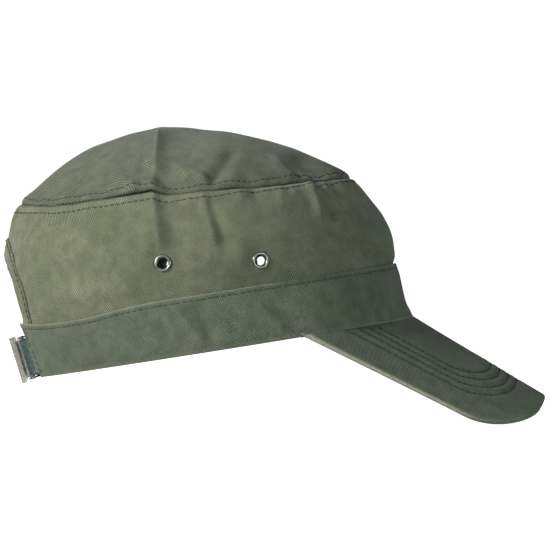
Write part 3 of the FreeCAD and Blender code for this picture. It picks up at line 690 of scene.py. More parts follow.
def cloth_material(name, colour, faded, twill=0.00105, steep=0.62, weave_contrast=1.25):
    """Cotton twill: diagonal wales, crossing yarns, washed-out patches, pale worn edges where the wear value is
    above zero, and painted shade along the seams where it is below."""
    material, tree, shader = node_tree(name)
    uv = tree.nodes.new("ShaderNodeUVMap")
    uv.uv_map = "cloth"
    split = tree.nodes.new("ShaderNodeSeparateXYZ")
    link(tree, uv.outputs["UV"], split.inputs[0])
    # the wales run diagonally and wander a little, and one yarn in each repeat crosses them
    wander = noise_node(tree, uv.outputs["UV"], 160.0, 2.0)
    slub = noise_node(tree, uv.outputs["UV"], 1100.0, 1.0)
    across = plus(tree, times(tree, split.outputs[0], 1 / twill),
                  times(tree, split.outputs[1], steep / twill))
    across = plus(tree, across, times(tree, wander, 0.5))
    across = plus(tree, across, times(tree, slub, 0.35))
    wale = math_node(tree, "SINE", times(tree, across, 2 * math.pi))
    yarn = math_node(tree, "SINE", times(tree, split.outputs[1], 2 * math.pi / (0.62 * twill)))
    weave = plus(tree, wale, times(tree, yarn, 0.25))
    height = times(tree, plus(tree, weave, 1.25), 0.4)
    place = object_place(tree)
    washed = noise_node(tree, place, 30.0, 4.0, 0.62)
    mottle = noise_node(tree, place, 150.0, 4.0, 0.65)
    speck = noise_node(tree, uv.outputs["UV"], 2200.0, 1.0)
    base = mix_colour(tree, ramp_node(tree, washed, [(0.38, (0, 0, 0)), (0.64, (1, 1, 1))]),
                      colour, faded)
    blotch = ramp_node(tree, mottle, [(0.40, (0, 0, 0)), (0.62, (1, 1, 1))])
    base = mix_colour(tree, times(tree, blotch, 0.55), base,
                      tuple(c * tint for c, tint in zip(colour, (0.62, 0.68, 0.66))))
    shade = scale_and_lift(tree, height, weave_contrast, 1 - 0.55 * weave_contrast)
    shade = times(tree, shade, scale_and_lift(tree, speck, 0.9, 0.55))
    base = mix_colour(tree, 1.0, base, shade, "MULTIPLY")
    worn = tree.nodes.new("ShaderNodeAttribute")
    worn.attribute_name = "wear_and_seam_shade"
    rubbed = times(tree, worn.outputs["Fac"], plus(tree, noise_node(tree, place, 700.0, 2.0), 0.25))
    base = mix_colour(tree, rubbed, base, WORN_GREY)
    # painted shade: below zero the cloth is darkened, standing in for the shade in the crown seam's groove
    painted_seam_shade = times(tree, worn.outputs["Fac"], -1.0)
    base = mix_colour(tree, painted_seam_shade, base, tuple(0.25 * c for c in colour))
    link(tree, base, shader.inputs["Base Color"])
    set_inputs(shader, {"Roughness": 0.92, "Specular IOR Level": 0.2, "Sheen Weight": 0.12,
                        "Sheen Roughness": 0.5})
    fuzz = noise_node(tree, place, 1500.0, 2.0)
    bumped = bump_node(tree, fuzz, 0.4, 0.0003)
    link(tree, bump_node(tree, height, 0.8, 0.0003, bumped), shader.inputs["Normal"])
    return material


def thread_material():
    material, tree, shader = node_tree("sewing_thread")
    twist = noise_node(tree, object_place(tree), 1500.0, 2.0)
    colour = mix_colour(tree, twist, (0.012, 0.020, 0.016), (0.040, 0.055, 0.042))
    link(tree, colour, shader.inputs["Base Color"])
    shader.inputs["Roughness"].default_value = 0.75
    link(tree, bump_node(tree, twist, 0.4, 0.0002), shader.inputs["Normal"])
    return material


def webbing_material():
    """Fuzzy webbing whose dark teal colour is painted shade: pale loose fibres over a dark ribbed ground."""
    material, tree, shader = node_tree("fuzzy_webbing_painted_shade")
    place = object_place(tree)
    fibre = noise_node(tree, place, 900.0, 4.0, 0.7)
    clump = noise_node(tree, place, 260.0, 3.0, 0.6)
    # the dark teal of the ground and of the clumps is painted shade; the pale fibres are the webbing's fuzz
    colour = ramp_node(tree, fibre, [(0.36, (0.004, 0.018, 0.018)), (0.54, (0.016, 0.052, 0.050)),
                                     (0.74, (0.13, 0.21, 0.19))])
    colour = mix_colour(tree, times(tree, clump, 0.5), colour, (0.012, 0.045, 0.045))
    link(tree, colour, shader.inputs["Base Color"])
    set_inputs(shader, {"Roughness": 0.95, "Sheen Weight": 0.5, "Sheen Roughness": 0.4})
    link(tree, bump_node(tree, fibre, 0.8, 0.0008), shader.inputs["Normal"])
    return material


def metal_material(name, colour, dark, roughness):
    """Satin plate with fine rubbing marks and a little tarnish."""
    material, tree, shader = node_tree(name)
    place = object_place(tree)
    tarnish = noise_node(tree, place, 420.0, 4.0, 0.6)
    scratch = noise_node(tree, place, 2600.0, 2.0, 0.5)
    worn = ramp_node(tree, tarnish, [(0.42, (0, 0, 0)), (0.72, (1, 1, 1))])
    link(tree, mix_colour(tree, worn, colour, dark), shader.inputs["Base Color"])
    link(tree, scale_and_lift(tree, scratch, 0.18, roughness - 0.09), shader.inputs["Roughness"])
    shader.inputs["Metallic"].default_value = 1.0
    link(tree, bump_node(tree, scratch, 0.15, 0.0001), shader.inputs["Normal"])
    return material


def plain_material(name, colour, other, roughness, scale, bump):
    """A quiet mottled finish for hidden pieces."""
    material, tree, shader = node_tree(name)
    grain = noise_node(tree, object_place(tree), scale, 3.0)
    link(tree, mix_colour(tree, grain, colour, other), shader.inputs["Base Color"])
    shader.inputs["Roughness"].default_value = roughness
    link(tree, bump_node(tree, grain, 0.5, bump), shader.inputs["Normal"])
    return material


WORN_GREY = (0.38, 0.38, 0.30)
OLIVE = (0.140, 0.156, 0.104)
OLIVE_FADED = (0.188, 0.196, 0.140)
BAND_OLIVE = (0.104, 0.128, 0.092)
BAND_FADED = (0.138, 0.160, 0.118)
VISOR_OLIVE = (0.082, 0.108, 0.078)
VISOR_FADED = (0.100, 0.128, 0.094)
LINING_OLIVE = (0.085, 0.105, 0.078)
LINING_FADED = (0.120, 0.140, 0.105)
# the crown's top gets a darker olive than the side wall: painted shade, for the top lying darker in the light
SHADED_TOP_OLIVE = (0.104, 0.124, 0.086)
SHADED_TOP_FADED = (0.142, 0.156, 0.112)
crown_cloth = cloth_material("crown_twill", OLIVE, OLIVE_FADED)
shaded_top_cloth = cloth_material("crown_top_twill_painted_shade", SHADED_TOP_OLIVE, SHADED_TOP_FADED, weave_contrast=1.1)
binding_cloth = cloth_material("binding_twill", OLIVE, OLIVE_FADED, 0.0008, 0.62, 0.4)
band_cloth = cloth_material("band_twill", BAND_OLIVE, BAND_FADED, 0.00095, -0.75, 0.95)
visor_cloth = cloth_material("visor_twill", VISOR_OLIVE, VISOR_FADED, 0.0008, 0.7, 0.28)
lining_cloth = cloth_material("sweatband_twill", LINING_OLIVE, LINING_FADED, 0.0008, 0.9, 0.6)
thread = thread_material()
shaded_webbing = webbing_material()
satin = metal_material("satin_nickel", (0.62, 0.63, 0.60), (0.26, 0.23, 0.19), 0.34)
dull = metal_material("dark_nickel", (0.34, 0.35, 0.33), (0.12, 0.11, 0.09), 0.38)
buckram = plain_material("buckram", (0.50, 0.50, 0.46), (0.66, 0.66, 0.61), 0.9, 900.0, 0.0002)
board = plain_material("visor_plastic", (0.70, 0.70, 0.67), (0.78, 0.78, 0.75), 0.45, 300.0, 0.0001)
label = plain_material("woven_label", (0.66, 0.66, 0.61), (0.78, 0.78, 0.74), 0.85, 1500.0, 0.0002)


# ---------------------------------------------------------------- crown

def in_rear_opening(points, margin):
    """Whether points lie in the half-moon opening, grown by a margin."""
    x, y, z = points[..., 0], points[..., 1], points[..., 2]
    inside = (y / (ARCH_HALF + margin)) ** 2 + ((z - ARCH_CENTRE) / (ARCH_RISE + margin)) ** 2 < 1
    return (x < -60) & (inside | ((np.abs(y) < ARCH_HALF + margin - 2) & (z < ARCH_CENTRE - 4)))


def wall_holes(points):
    holes = in_rear_opening(points, 3.0)
    for centre in EYELETS:
        holes |= np.linalg.norm(points - centre, axis=-1) < EYELET_HOLE
    return holes


def side_wear_and_seam_shade(v, points):
    to_seam = (1 - v) * WALL_HEIGHT
    # pale wear along the crease and on the welt below the seam; the negative bell right at the seam is painted
    # shade
    return crease_wear(points) * 0.6 + 0.1 * bell(to_seam - 2.2, 1.4) - bell(to_seam, 0.8)


def top_wear_and_seam_shade(v, points):
    # pale wear along the crease; the negative bell right at the seam is painted shade
    return crease_wear(points) * 0.6 - bell(v * DOME_HEIGHT, 0.8)


def side_uv(turn, v, points):
    """The side wall's cloth laid flat, as long as its widest round."""
    return np.stack([turn * SIDE_LENGTH, np.broadcast_to(v * WALL_HEIGHT, points.shape[:-1])], -1)


def top_uv(turn, v, points):
    """The dome's cloth laid flat round its top, so that the weave keeps its size near the seam."""
    rows = spline(DOME_RUN, DOME, v * DOME_HEIGHT)
    spread = np.maximum(1 - v, 0.01) * DOME_HEIGHT / ((rows[..., 0] - rows[..., 2]) / 2)
    middle = (rows[..., 0] + rows[..., 2]) / 2
    return np.stack([(points[..., 0] - middle) * spread, points[..., 1] * spread], -1)


SIDE_LENGTH = SEAM_LENGTH * 1.15
SEAM_STRIP = 9.0               # the strip along the crown seam that has closer rows of points
turns = np.linspace(0, 1, 400, endpoint=False)
seam_rows = np.linspace(0, SEAM_STRIP, 20)
side_rows = np.unique(np.concatenate([
    np.linspace(0, 1 - SEAM_STRIP / WALL_HEIGHT, 40), 1 - seam_rows / WALL_HEIGHT]))
top_rows = np.unique(np.concatenate([
    seam_rows / DOME_HEIGHT, np.linspace(SEAM_STRIP / DOME_HEIGHT, 1, 52)]))
crown_side = sheet_piece("crown_side_cloth", wall_point, turns, side_rows, side_uv, side_wear_and_seam_shade,
                         hole=wall_holes)
dress(crown_side, crown_cloth, "crown_side")
crown_top = sheet_piece("crown_top_cloth", dome_point, turns, top_rows, top_uv, top_wear_and_seam_shade, cap_end=True)
dress(crown_top, shaded_top_cloth, "crown_top")

round_turns = np.linspace(0, 1, 1200)
for name, surface, v in (
        ("crown_seam_stitches_upper", dome_point, SEAM_STITCH / DOME_HEIGHT),
        ("crown_seam_stitches_lower", wall_point, 1 - SEAM_STITCH / WALL_HEIGHT)):
    stitches(name, *surface_row(surface, round_turns, v), seed=len(name), thickness=HEAVY_THREAD)

TAPE_STATIONS = 240
# corners of the tape's section: distance below the seam, lift off the wall, place on the flat tape
TAPE_PROFILE = ((7.0, -1.5, 0.0), (1.0, -1.9, 6.0), (1.0, -2.5, 6.6), (7.0, -2.1, 12.6))


def tape_place(index, run, lift, across):
    """The tape inside the crown seam."""
    turn = np.arange(TAPE_STATIONS) / TAPE_STATIONS
    spot, outward = surface_row(wall_point, turn, 1 - run / WALL_HEIGHT)
    flat = np.stack([turn * SEAM_LENGTH, np.full(TAPE_STATIONS, across)], -1)
    return spot + outward * lift, flat, np.zeros(TAPE_STATIONS)


seam_tape = profile_strip("crown_seam_tape_cloth", TAPE_PROFILE, tape_place, ring=True,
                          slot="seam_tape")
dress(seam_tape, lining_cloth, "crown_seam_tape")


# ---------------------------------------------------------------- rear opening and its binding

def wall_at(y, z):
    """The side wall's surface at the back of the head, for a place (y, z)."""
    v = np.linspace(0, 1, 400)
    rear = wall_base(np.full(400, 0.5), v)
    at_v = np.interp(z, rear[:, 2], v)
    rows = spline(WALL_RUN, WALL, at_v * WALL_HEIGHT)
    length = oval_rows(rows, np.full(np.shape(y), 0.5))[1]
    radius = OVAL_END * rows[..., 4]
    turn = 0.5 - np.arcsin(np.clip(y / radius, -1, 1)) * radius / length
    return turn, at_v


def arch_path(count, grow):
    """The opening's outline, grown outwards, from the right foot over the top to the left foot."""
    angle = np.radians(np.linspace(-104, 104, count))
    y = (ARCH_HALF + grow) * np.sin(angle)
    z = ARCH_CENTRE + (ARCH_RISE + grow) * np.cos(angle)
    return y, np.maximum(z, BAND_HEIGHT - 1.0)


BINDING_PROFILE = [(9.8, 0.15), (9.5, 0.75), (5.0, 0.95), (1.2, 0.85), (0.1, 0.2), (-0.2, -0.7),
                   (0.2, -1.6), (1.4, -2.2), (5.0, -2.3), (9.6, -2.1), (9.8, -1.35), (5.0, -1.4),
                   (1.6, -1.3), (1.0, -0.6), (1.6, 0.1), (5.0, 0.2)]
BINDING_STATIONS = 150
bunch = smooth_noise(np.linspace(0, 30, BINDING_STATIONS), np.zeros(BINDING_STATIONS), 41, 64)


def binding_place(index, grow, lift):
    """The tape folded round the opening's edge, puffed up where it bunches."""
    y, z = arch_path(BINDING_STATIONS, grow * (1 + 0.05 * bunch))
    spot, outward = surface_row(wall_point, *wall_at(y, z))
    puff = 0.3 * bunch * (lift > 0) * bell(grow - 4, 4)
    run = np.concatenate([[0], np.cumsum(np.hypot(np.diff(y), np.diff(z)))])
    around = index * 2.2
    flat = np.stack([run + around, run - around], -1) * 0.7
    wear_and_seam_shade = np.full(BINDING_STATIONS, 0.5 * bell(grow + 0.3, 0.8))
    return spot + outward * (lift + puff)[:, None], flat, wear_and_seam_shade


binding = profile_strip("opening_binding_cloth", BINDING_PROFILE, binding_place)
dress(binding, binding_cloth, "opening_binding")
BINDING_STITCH = 8.3           # the binding's stitch row, measured from the opening's edge
path, outward = surface_row(wall_point, *wall_at(*arch_path(300, BINDING_STITCH)))
stitches("opening_binding_stitches", path + outward * 0.9, outward, seed=4)


# ---------------------------------------------------------------- band, sweatband

def rear_turn(half_gap, inset):
    """The turn at which an oval strip stops beside the rear gap, on the wearer's left."""
    radius = OVAL_END * BAND_HALF_WIDTH - inset
    length = float(oval(np.array(0.0), BAND_HALF_LENGTH - inset, BAND_HALF_WIDTH - inset)[2])
    return 0.5 - math.asin(half_gap / radius) * radius / length, length


band_end, band_length = rear_turn(BAND_GAP_HALF, 0)
BAND_STATIONS = 460
BAND_END_SLANT = 7.0           # how far the foot of each rear end stands back from its top
outer_heights = np.concatenate([np.linspace(1.0, 4.5, 7), np.linspace(6, 23, 14),
                                np.linspace(24.4, 28.4, 8)])


def slanted_end(height):
    """The turn where the band's rear end is at a height."""
    return band_end - BAND_END_SLANT * (1 - height / BAND_HEIGHT) / band_length


band_profile = [(h, 0.0) for h in outer_heights]
band_profile += [(28.95, -0.25), (29.2, -0.6), (28.95, -1.0), (28.2, -1.2)]
band_profile += [(h, -1.2) for h in (20.0, 10.0, 2.0)]
band_profile += [(0.3, -1.0), (0.0, -0.6), (0.3, -0.2)]


def band_place(index, height, offset):
    """The band's cloth, pressed thinner at its rear ends and drawn in along their stitches."""
    end = slanted_end(height)
    turn = np.linspace(-end, end, BAND_STATIONS)
    from_end = (end - np.abs(turn)) * band_length
    spot, outward = surface_row(band_point, turn, height / BAND_HEIGHT)
    lift = -0.6 + (offset + 0.6) * (1 - 0.5 * np.exp(-from_end / 0.5))
    lift = lift - 0.25 * bell(from_end - END_STITCH, 0.8) * (offset > -0.3)
    flat = np.stack([turn * band_length, np.full(BAND_STATIONS, height)], -1)
    wear_and_seam_shade = 0.35 * bell(height - BAND_HEIGHT, 0.8) + 0.3 * bell(height, 0.8)
    return spot + outward * lift[:, None], flat, np.full(BAND_STATIONS, wear_and_seam_shade)


band = dress(profile_strip("band_cloth", band_profile, band_place), band_cloth, "band_outer")

top_turns = np.linspace(-band_end + 0.004, band_end - 0.004, 1200)
stitches("band_top_stitches",
         *surface_row(band_point, top_turns, 1 - BAND_STITCH / BAND_HEIGHT), seed=6)
for side, sign in (("right", -1), ("left", 1)):
    rise = np.linspace(2.0, BAND_HEIGHT - 3.0, 60) / BAND_HEIGHT
    turn = sign * (slanted_end(rise * BAND_HEIGHT) - END_STITCH / band_length)
    path, outward = surface_row(band_point, turn, rise)
    stitches(f"band_end_stitches_{side}", path - outward * 0.2, outward, seed=7)


def lining_strip(name, half_gap, inset, stations, profile, waviness, slot):
    """A strip inside the band, open at the back; profile rows are height and offset from the band."""
    end, length = rear_turn(half_gap, inset)
    turn = np.linspace(-end, end, stations)

    def place(index, height, offset):
        v = height / BAND_HEIGHT
        spot, outward = surface_row(band_base, turn, v)
        waves = waviness * round_noise(turn, 70, np.full(stations, v * 2), 51)
        flat = np.stack([turn * length, np.full(stations, height)], -1)
        return spot + outward * (offset + waves)[:, None], flat, np.zeros(stations)

    return profile_strip(name, profile, place, slot=slot)


SWEATBAND_PROFILE = [(1.2, -5.0), (12.0, -5.05), (24.0, -5.05), (33.0, -5.0), (33.9, -5.3),
                     (33.4, -5.9), (24.0, -6.0), (12.0, -6.0), (2.0, -6.0), (1.0, -5.5)]
STIFFENER_PROFILE = [(4.0, -1.6), (14.0, -1.6), (25.0, -1.6), (25.0, -2.0), (14.0, -2.0), (4.0, -2.0)]
sweatband = lining_strip("sweatband_cloth", half_gap=44.0, inset=4.9, stations=300,
                         profile=SWEATBAND_PROFILE, waviness=0.12, slot="sweatband_cloth")
dress(sweatband, lining_cloth, "sweatband")
interlining = lining_strip("band_interlining_sheet", half_gap=46.0, inset=1.6, stations=260,
                           profile=STIFFENER_PROFILE, waviness=0.0, slot="stiffener")
dress(interlining, buckram, "band_interlining")


# ---------------------------------------------------------------- visor

def visor_sag(w):
    return VISOR_ARCH - np.sqrt(np.maximum(VISOR_ARCH ** 2 - w ** 2, 1.0))


def visor_root(w):
    """Where along its crest the visor's upper face comes out from under the band."""
    return -visor_sag(w) / math.tan(VISOR_DROP)


def visor_place(u, w, lift):
    """Points of the visor: u along its crest, w across, lift out of its upper face."""
    slope = w / VISOR_ARCH
    v = -visor_sag(w) + lift * np.sqrt(1 - slope ** 2)
    w = w + lift * slope
    return np.stack([VISOR_FRONT + u * math.cos(VISOR_DROP) + v * math.sin(VISOR_DROP), w,
                     -u * math.sin(VISOR_DROP) + v * math.cos(VISOR_DROP)], -1)


def visor_outline(count, front_inset=0.0, side_inset=0.0, corner=VISOR_CORNER_RADIUS):
    """A line round the visor, from its right corner by the band past the front to its left one:
    a bowed front, two round corners and two straight sides, each moved in by its inset."""
    front_u = VISOR_REACH - VISOR_FRONT_RADIUS
    back = np.array([-VISOR_BACK_REACH, VISOR_BACK_HALF])
    first_w = VISOR_FRONT_HALF - VISOR_CORNER_RADIUS
    first_u = front_u + math.sqrt((VISOR_FRONT_RADIUS - VISOR_CORNER_RADIUS) ** 2 - first_w ** 2)
    run = np.array([first_u, first_w]) - back
    heading = math.atan2(run[1], run[0]) + math.asin(VISOR_CORNER_RADIUS / np.hypot(*run))
    along = np.array([math.cos(heading), math.sin(heading)])
    inward = np.array([math.sin(heading), -math.cos(heading)])
    back = back + inward * side_inset
    front = np.array([front_u - front_inset, 0.0])
    # the corner's centre is a radius in from the side line and from the front arc
    start = back + inward * corner - front
    reach = VISOR_FRONT_RADIUS - corner
    travel = -start @ along + math.sqrt((start @ along) ** 2 - start @ start + reach ** 2)
    middle = front + start + along * travel
    touch = middle - inward * corner
    blend = math.atan2(middle[1] - front[1], middle[0] - front[0])
    side = [back + (touch - back) * t for t in np.linspace(0, 1, 160)[:-1]]
    bend = [middle + corner * np.array([math.cos(t), math.sin(t)])
            for t in np.linspace(heading + math.pi / 2, blend, 120)[:-1]]
    bow = [front + VISOR_FRONT_RADIUS * np.array([math.cos(t), math.sin(t)])
           for t in np.linspace(blend, 0, 100)]
    half = np.array(side + bend + bow)
    whole = np.concatenate([half * [1, -1], half[::-1][1:]])
    run = np.concatenate([[0], np.cumsum(np.hypot(*np.diff(whole, axis=0).T))])
    even = np.linspace(0, run[-1], count)
    return np.interp(even, run, whole[:, 0]), np.interp(even, run, whole[:, 1])


VISOR_COLUMNS = 260
edge_u, edge_w = visor_outline(VISOR_COLUMNS)
root_w = np.interp(np.linspace(-1, 1, VISOR_COLUMNS), [-1, 1], [-VISOR_BACK_HALF, VISOR_BACK_HALF])
root_u = visor_root(root_w) - VISOR_TUCK
# front inset, side inset and corner radius of each row of quilting stitches
STITCH_ROWS = ((17.5, 11.5, 30.0), (22.5, 15.5, 28.0), (27.8, 19.5, 26.0), (33.0, 23.5, 24.0))
stitch_paths = [np.stack(visor_outline(900, *row), -1) for row in STITCH_ROWS]


def row_distance(u, w):
    """How far each visor point is from the nearest stitch row."""
    best = np.full(u.shape, 99.0)
    for path in stitch_paths:
        for part in np.array_split(path[::4], 6):
            gap = np.hypot(u[..., None] - part[:, 0], w[..., None] - part[:, 1]).min(-1)
            best = np.minimum(best, gap)
    return best


visor_steps = np.concatenate([np.linspace(0, 0.96, 84), [0.975, 0.985, 0.992, 0.997, 1.0]])
step, column = np.meshgrid(visor_steps, np.arange(VISOR_COLUMNS), indexing="ij")
visor_u = root_u[column] + (edge_u[column] - root_u[column]) * step
visor_w = root_w[column] + (edge_w[column] - root_w[column]) * step
edge_gap = np.hypot(visor_u - edge_u[column], visor_w - edge_w[column])
quilting = -0.5 * bell(row_distance(visor_u, visor_w), 1.0)
soft = 0.16 * smooth_noise(visor_u / 16 + 20, visor_w / 16 + 20, 61, 64)
rim = VISOR_THICKNESS / 2 * (1 - np.sqrt(np.clip(1 - (1 - np.clip(edge_gap / 1.6, 0, 1)) ** 2, 0, 1)))
top_lift = quilting + soft - rim + COVER_PUFF
bottom_lift = -VISOR_THICKNESS - quilting * 0.7 + rim - COVER_PUFF + 0.5 * soft
visor_uv = np.stack([visor_u * MM, visor_w * MM], -1).reshape(-1, 2)
side_edge = 0.3 + 0.7 * smoothstep(62.0, 34.0, visor_u)
rim_wear = (side_edge * np.exp(-(edge_gap / 1.5) ** 4)).ravel()
visor_faces = grid_faces(len(visor_steps), VISOR_COLUMNS)

for name, lift, node, faces in (
        ("visor_top_cloth", top_lift, "visor_top_cover", visor_faces),
        ("visor_bottom_cloth", bottom_lift, "visor_bottom_cover",
         [tuple(reversed(face)) for face in visor_faces])):
    skin = visor_place(visor_u, visor_w, lift).reshape(-1, 3)
    cover = thicken(add_mesh(name, skin, faces, visor_uv, rim_wear), VISOR_COVER)
    dress(cover, visor_cloth, node)

for number, path in enumerate(stitch_paths, start=1):
    u, w = path[:, 0], path[:, 1]
    keep = u > visor_root(w) + VISOR_TUCK
    for face, level, sign in (("top", -0.2, 1), ("bottom", -VISOR_THICKNESS + 0.1, -1)):
        spots = visor_place(u[keep], w[keep], level)
        away = sign * (visor_place(u[keep], w[keep], level + 1.0) - spots)
        stitches(f"visor_{face}_stitches_{number}", spots, away, number, QUILTING, HEAVY_THREAD)


# ---------------------------------------------------------------- strap, chape and metal

rear_joint = next(j for j in frame["joints"] if j["name"] == "strap_slide")
strap_axis = to_cap(ORIGIN + -MM * np.array(rear_joint["axis"]))
strap_axis /= np.linalg.norm(strap_axis)
strap_centre = to_cap(rear_joint["pos_m"])
strap_back = np.array([-1.0, 0, 0]) - strap_axis * -strap_axis[0]
strap_back /= np.linalg.norm(strap_back)
strap_left = np.cross(strap_back, strap_axis)
if strap_left[1] < 0:
    strap_left = -strap_left


STRAP_STATIONS = 90


def strap_piece(name, outer, thickness, half_width, start, end, seed, fuzz_depth, **where):
    """Webbing that follows an arc about the strap's axis; angles in degrees towards the left."""
    angles = np.radians(np.linspace(start, end, STRAP_STATIONS))
    direction = np.cos(angles)[:, None] * strap_back + np.sin(angles)[:, None] * strap_left
    profile = []
    for corner in np.linspace(0, 2 * np.pi, 28, endpoint=False):
        square = max(abs(math.cos(corner)), abs(math.sin(corner))) ** 0.8
        profile.append((half_width * math.cos(corner) / square, thickness / 2 * math.sin(corner) / square))

    def place(index, height, lift):
        height = max(-half_width, min(half_width, height))
        lift = max(-thickness / 2, min(thickness / 2, lift))
        fuzz = fuzz_depth * smooth_noise(np.linspace(0, 60, STRAP_STATIONS),
                                         np.full(STRAP_STATIONS, index * 1.7), seed, 64)
        radius = outer - thickness / 2 + lift + fuzz * np.sign(lift)
        uneven = height * (1 + 0.01 * np.sin(angles * 40))
        spot = strap_centre + direction * radius[:, None] + strap_axis * uneven[:, None]
        flat = np.stack([angles * outer, np.full(STRAP_STATIONS, height + lift)], -1)
        return spot, flat, np.zeros(STRAP_STATIONS)

    return profile_strip(name, profile, place, **where)


END_RADIUS = OVAL_END * BAND_HALF_WIDTH
strap = strap_piece("adjuster_strap_webbing", outer=END_RADIUS - 3.0, thickness=1.4, half_width=10.0,
                    start=-40.0, end=31.0, seed=71, fuzz_depth=0.12, body="strap",
                    slot="strap_webbing")
dress(strap, shaded_webbing, "adjuster_strap")
care_label = strap_piece("care_label_cloth", outer=END_RADIUS - 6.1, thickness=0.4, half_width=8.5,
                         start=49.5, end=61.5, seed=72, fuzz_depth=0.04, slot="label_cloth")
dress(care_label, label, "care_label")

# the chape's middle line, back and left of the strap's axis: out of the band's right end, round the
# bar and back on itself
CHAPE_THICKNESS = 1.2
CHAPE_HALF_WIDTH = 9.6
CHAPE_LOOP = 0.8 + CHAPE_THICKNESS / 2
CHAPE_RADIUS = END_RADIUS - 1.5 - CHAPE_THICKNESS / 2


def turned(radius, angle):
    return radius * np.array([math.cos(angle), math.sin(angle)])


bar = node_centre("chape_bar") - strap_centre
bar = np.array([bar @ strap_back, bar @ strap_left])
bar_angle = math.atan2(bar[1], bar[0])
chape_line = [turned(CHAPE_RADIUS, math.radians(angle)) for angle in
              np.linspace(-31.0, math.degrees(bar_angle) - 2.6, 24)]
chape_line += [bar + turned(CHAPE_LOOP, bar_angle + swing) for swing in
               np.linspace(math.radians(-30), math.radians(250), 26)]
chape_line = np.array(chape_line)
chape_along = np.gradient(chape_line, axis=0)
chape_along /= np.linalg.norm(chape_along, axis=1, keepdims=True)
chape_out = np.stack([chape_along[:, 1], -chape_along[:, 0]], -1)
chape_steps = np.linalg.norm(np.diff(chape_line, axis=0), axis=1)
chape_length = np.concatenate([[0], np.cumsum(chape_steps)])
chape_profile = [(h * CHAPE_HALF_WIDTH, side * CHAPE_THICKNESS / 2) for side in (1, -1)
                 for h in np.linspace(-0.98 * side, 0.98 * side, 9)]


def chape_place(index, height, lift):
    fuzz = 0.06 * smooth_noise(chape_length, np.full(len(chape_line), index * 1.3), 73, 64)
    flat = chape_line + chape_out * (lift + fuzz * np.sign(lift))[:, None]
    spot = strap_centre + flat[:, :1] * strap_back + flat[:, 1:] * strap_left + strap_axis * height
    flat = np.stack([chape_length, np.full(len(chape_line), height + lift)], -1)
    return spot, flat, np.zeros(len(chape_line))


chape = profile_strip("clasp_chape_webbing", chape_profile, chape_place, slot="strap_webbing")
dress(chape, shaded_webbing, "clasp_chape")

for node, material in (("clasp_lever", satin), ("clasp_frame", dull), ("clasp_pin", dull),
                       ("chape_bar", dull), ("visor_board", board)):
    dress(frame["nodes"][node], material)

# radius and height of an eyelet's section, the height measured out of the cloth's face
EYELET_SECTION = np.array([
    (2.95, 0.1), (3.5, 0.18), (4.0, 0.2), (4.22, 0.32), (4.2, 0.5), (4.05, 0.68), (3.8, 0.8),
    (3.5, 0.84), (3.2, 0.76), (2.95, 0.55), (2.75, 0.2), (2.66, -0.4), (2.62, -1.4), (2.66, -2.2),
    (2.8, -2.5), (3.1, -2.62), (3.35, -2.5), (3.3, -2.25), (2.98, -2.2), (2.9, -1.4), (2.9, -0.4)])
EYELET_SPOKES = 48


def eyelet_axis(name):
    """The middle and the outward axis of a turned CAD ring, which is thinnest along its axis."""
    corners = np.array([to_cap(np.array(v.co)) for v in frame["nodes"][name].data.vertices])
    middle = corners.mean(0)
    axis = np.linalg.svd(corners - middle, full_matrices=False)[2][2]
    axis = axis * np.sign(axis[1] * middle[1])
    along = (corners - middle) @ axis
    return middle + axis * (along.max() + along.min()) / 2, axis


for place in EYELET_PLACES:
    name = f"eyelet_{place}"
    middle, axis = eyelet_axis(name)
    face = middle + axis * EYELET_MIDDLE_DEPTH
    across = np.cross(axis, [0.0, 0.0, 1.0])
    across /= np.linalg.norm(across)
    upright = np.cross(axis, across)
    spokes = np.linspace(0, 2 * np.pi, EYELET_SPOKES, endpoint=False)
    worn_edge = 0.05 * smooth_noise(np.arange(EYELET_SPOKES) / 3, np.zeros(EYELET_SPOKES),
                                    len(name), EYELET_SPOKES // 3)
    ring = np.cos(spokes)[:, None] * across + np.sin(spokes)[:, None] * upright
    radius = EYELET_SECTION[None, :, 0] + worn_edge[:, None] * (EYELET_SECTION[None, :, 0] > 3.3)
    points = face + ring[:, None] * radius[..., None] + axis * EYELET_SECTION[None, :, 1, None]
    flat = np.meshgrid(spokes * 4.2 * MM, np.arange(len(EYELET_SECTION)) * 0.4 * MM, indexing="ij")
    eyelet = closed_strip(f"{name}_ring", points, np.stack(flat, -1), ring=True, slot="satin_metal")
    dress(eyelet, dull, name)
    dress(frame["nodes"][f"washer_{place}"], dull)


# ---------------------------------------------------------------- what each cloth was cut from

# piece, width and length of the flat cut, how it is held, what it lies on, flat area if not w x l
for piece, flat_cut, held, lies_on, area in (
        (crown_side, (0.064, 0.56), "stretched", ["band_cloth"], None),
        (crown_top, (0.165, 0.195), "stretched", ["crown_side_cloth"], 0.0250),
        (band, (0.030, 0.545), "stretched", ["band_interlining_sheet"], None),
        (interlining, (0.021, 0.50), "stretched", ["band_cloth"], None),
        (sweatband, (0.034, 0.475), "stretched", ["band_interlining_sheet"], None),
        (binding, (0.024, 0.125), "folded", ["crown_side_cloth"], None),
        (seam_tape, (0.010, 0.525), "laid", ["crown_side_cloth"], 0.0034),
        (strap, (0.0205, 0.090), "laid", ["chape_bar"], None),
        (chape, (0.0195, 0.022), "folded", ["chape_bar"], None),
        (care_label, (0.017, 0.0145), "laid", ["sweatband_cloth"], None)):
    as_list(lies_on)


# ---------------------------------------------------------------- floor, light and camera

WHITE = (1, 1, 1, 1)


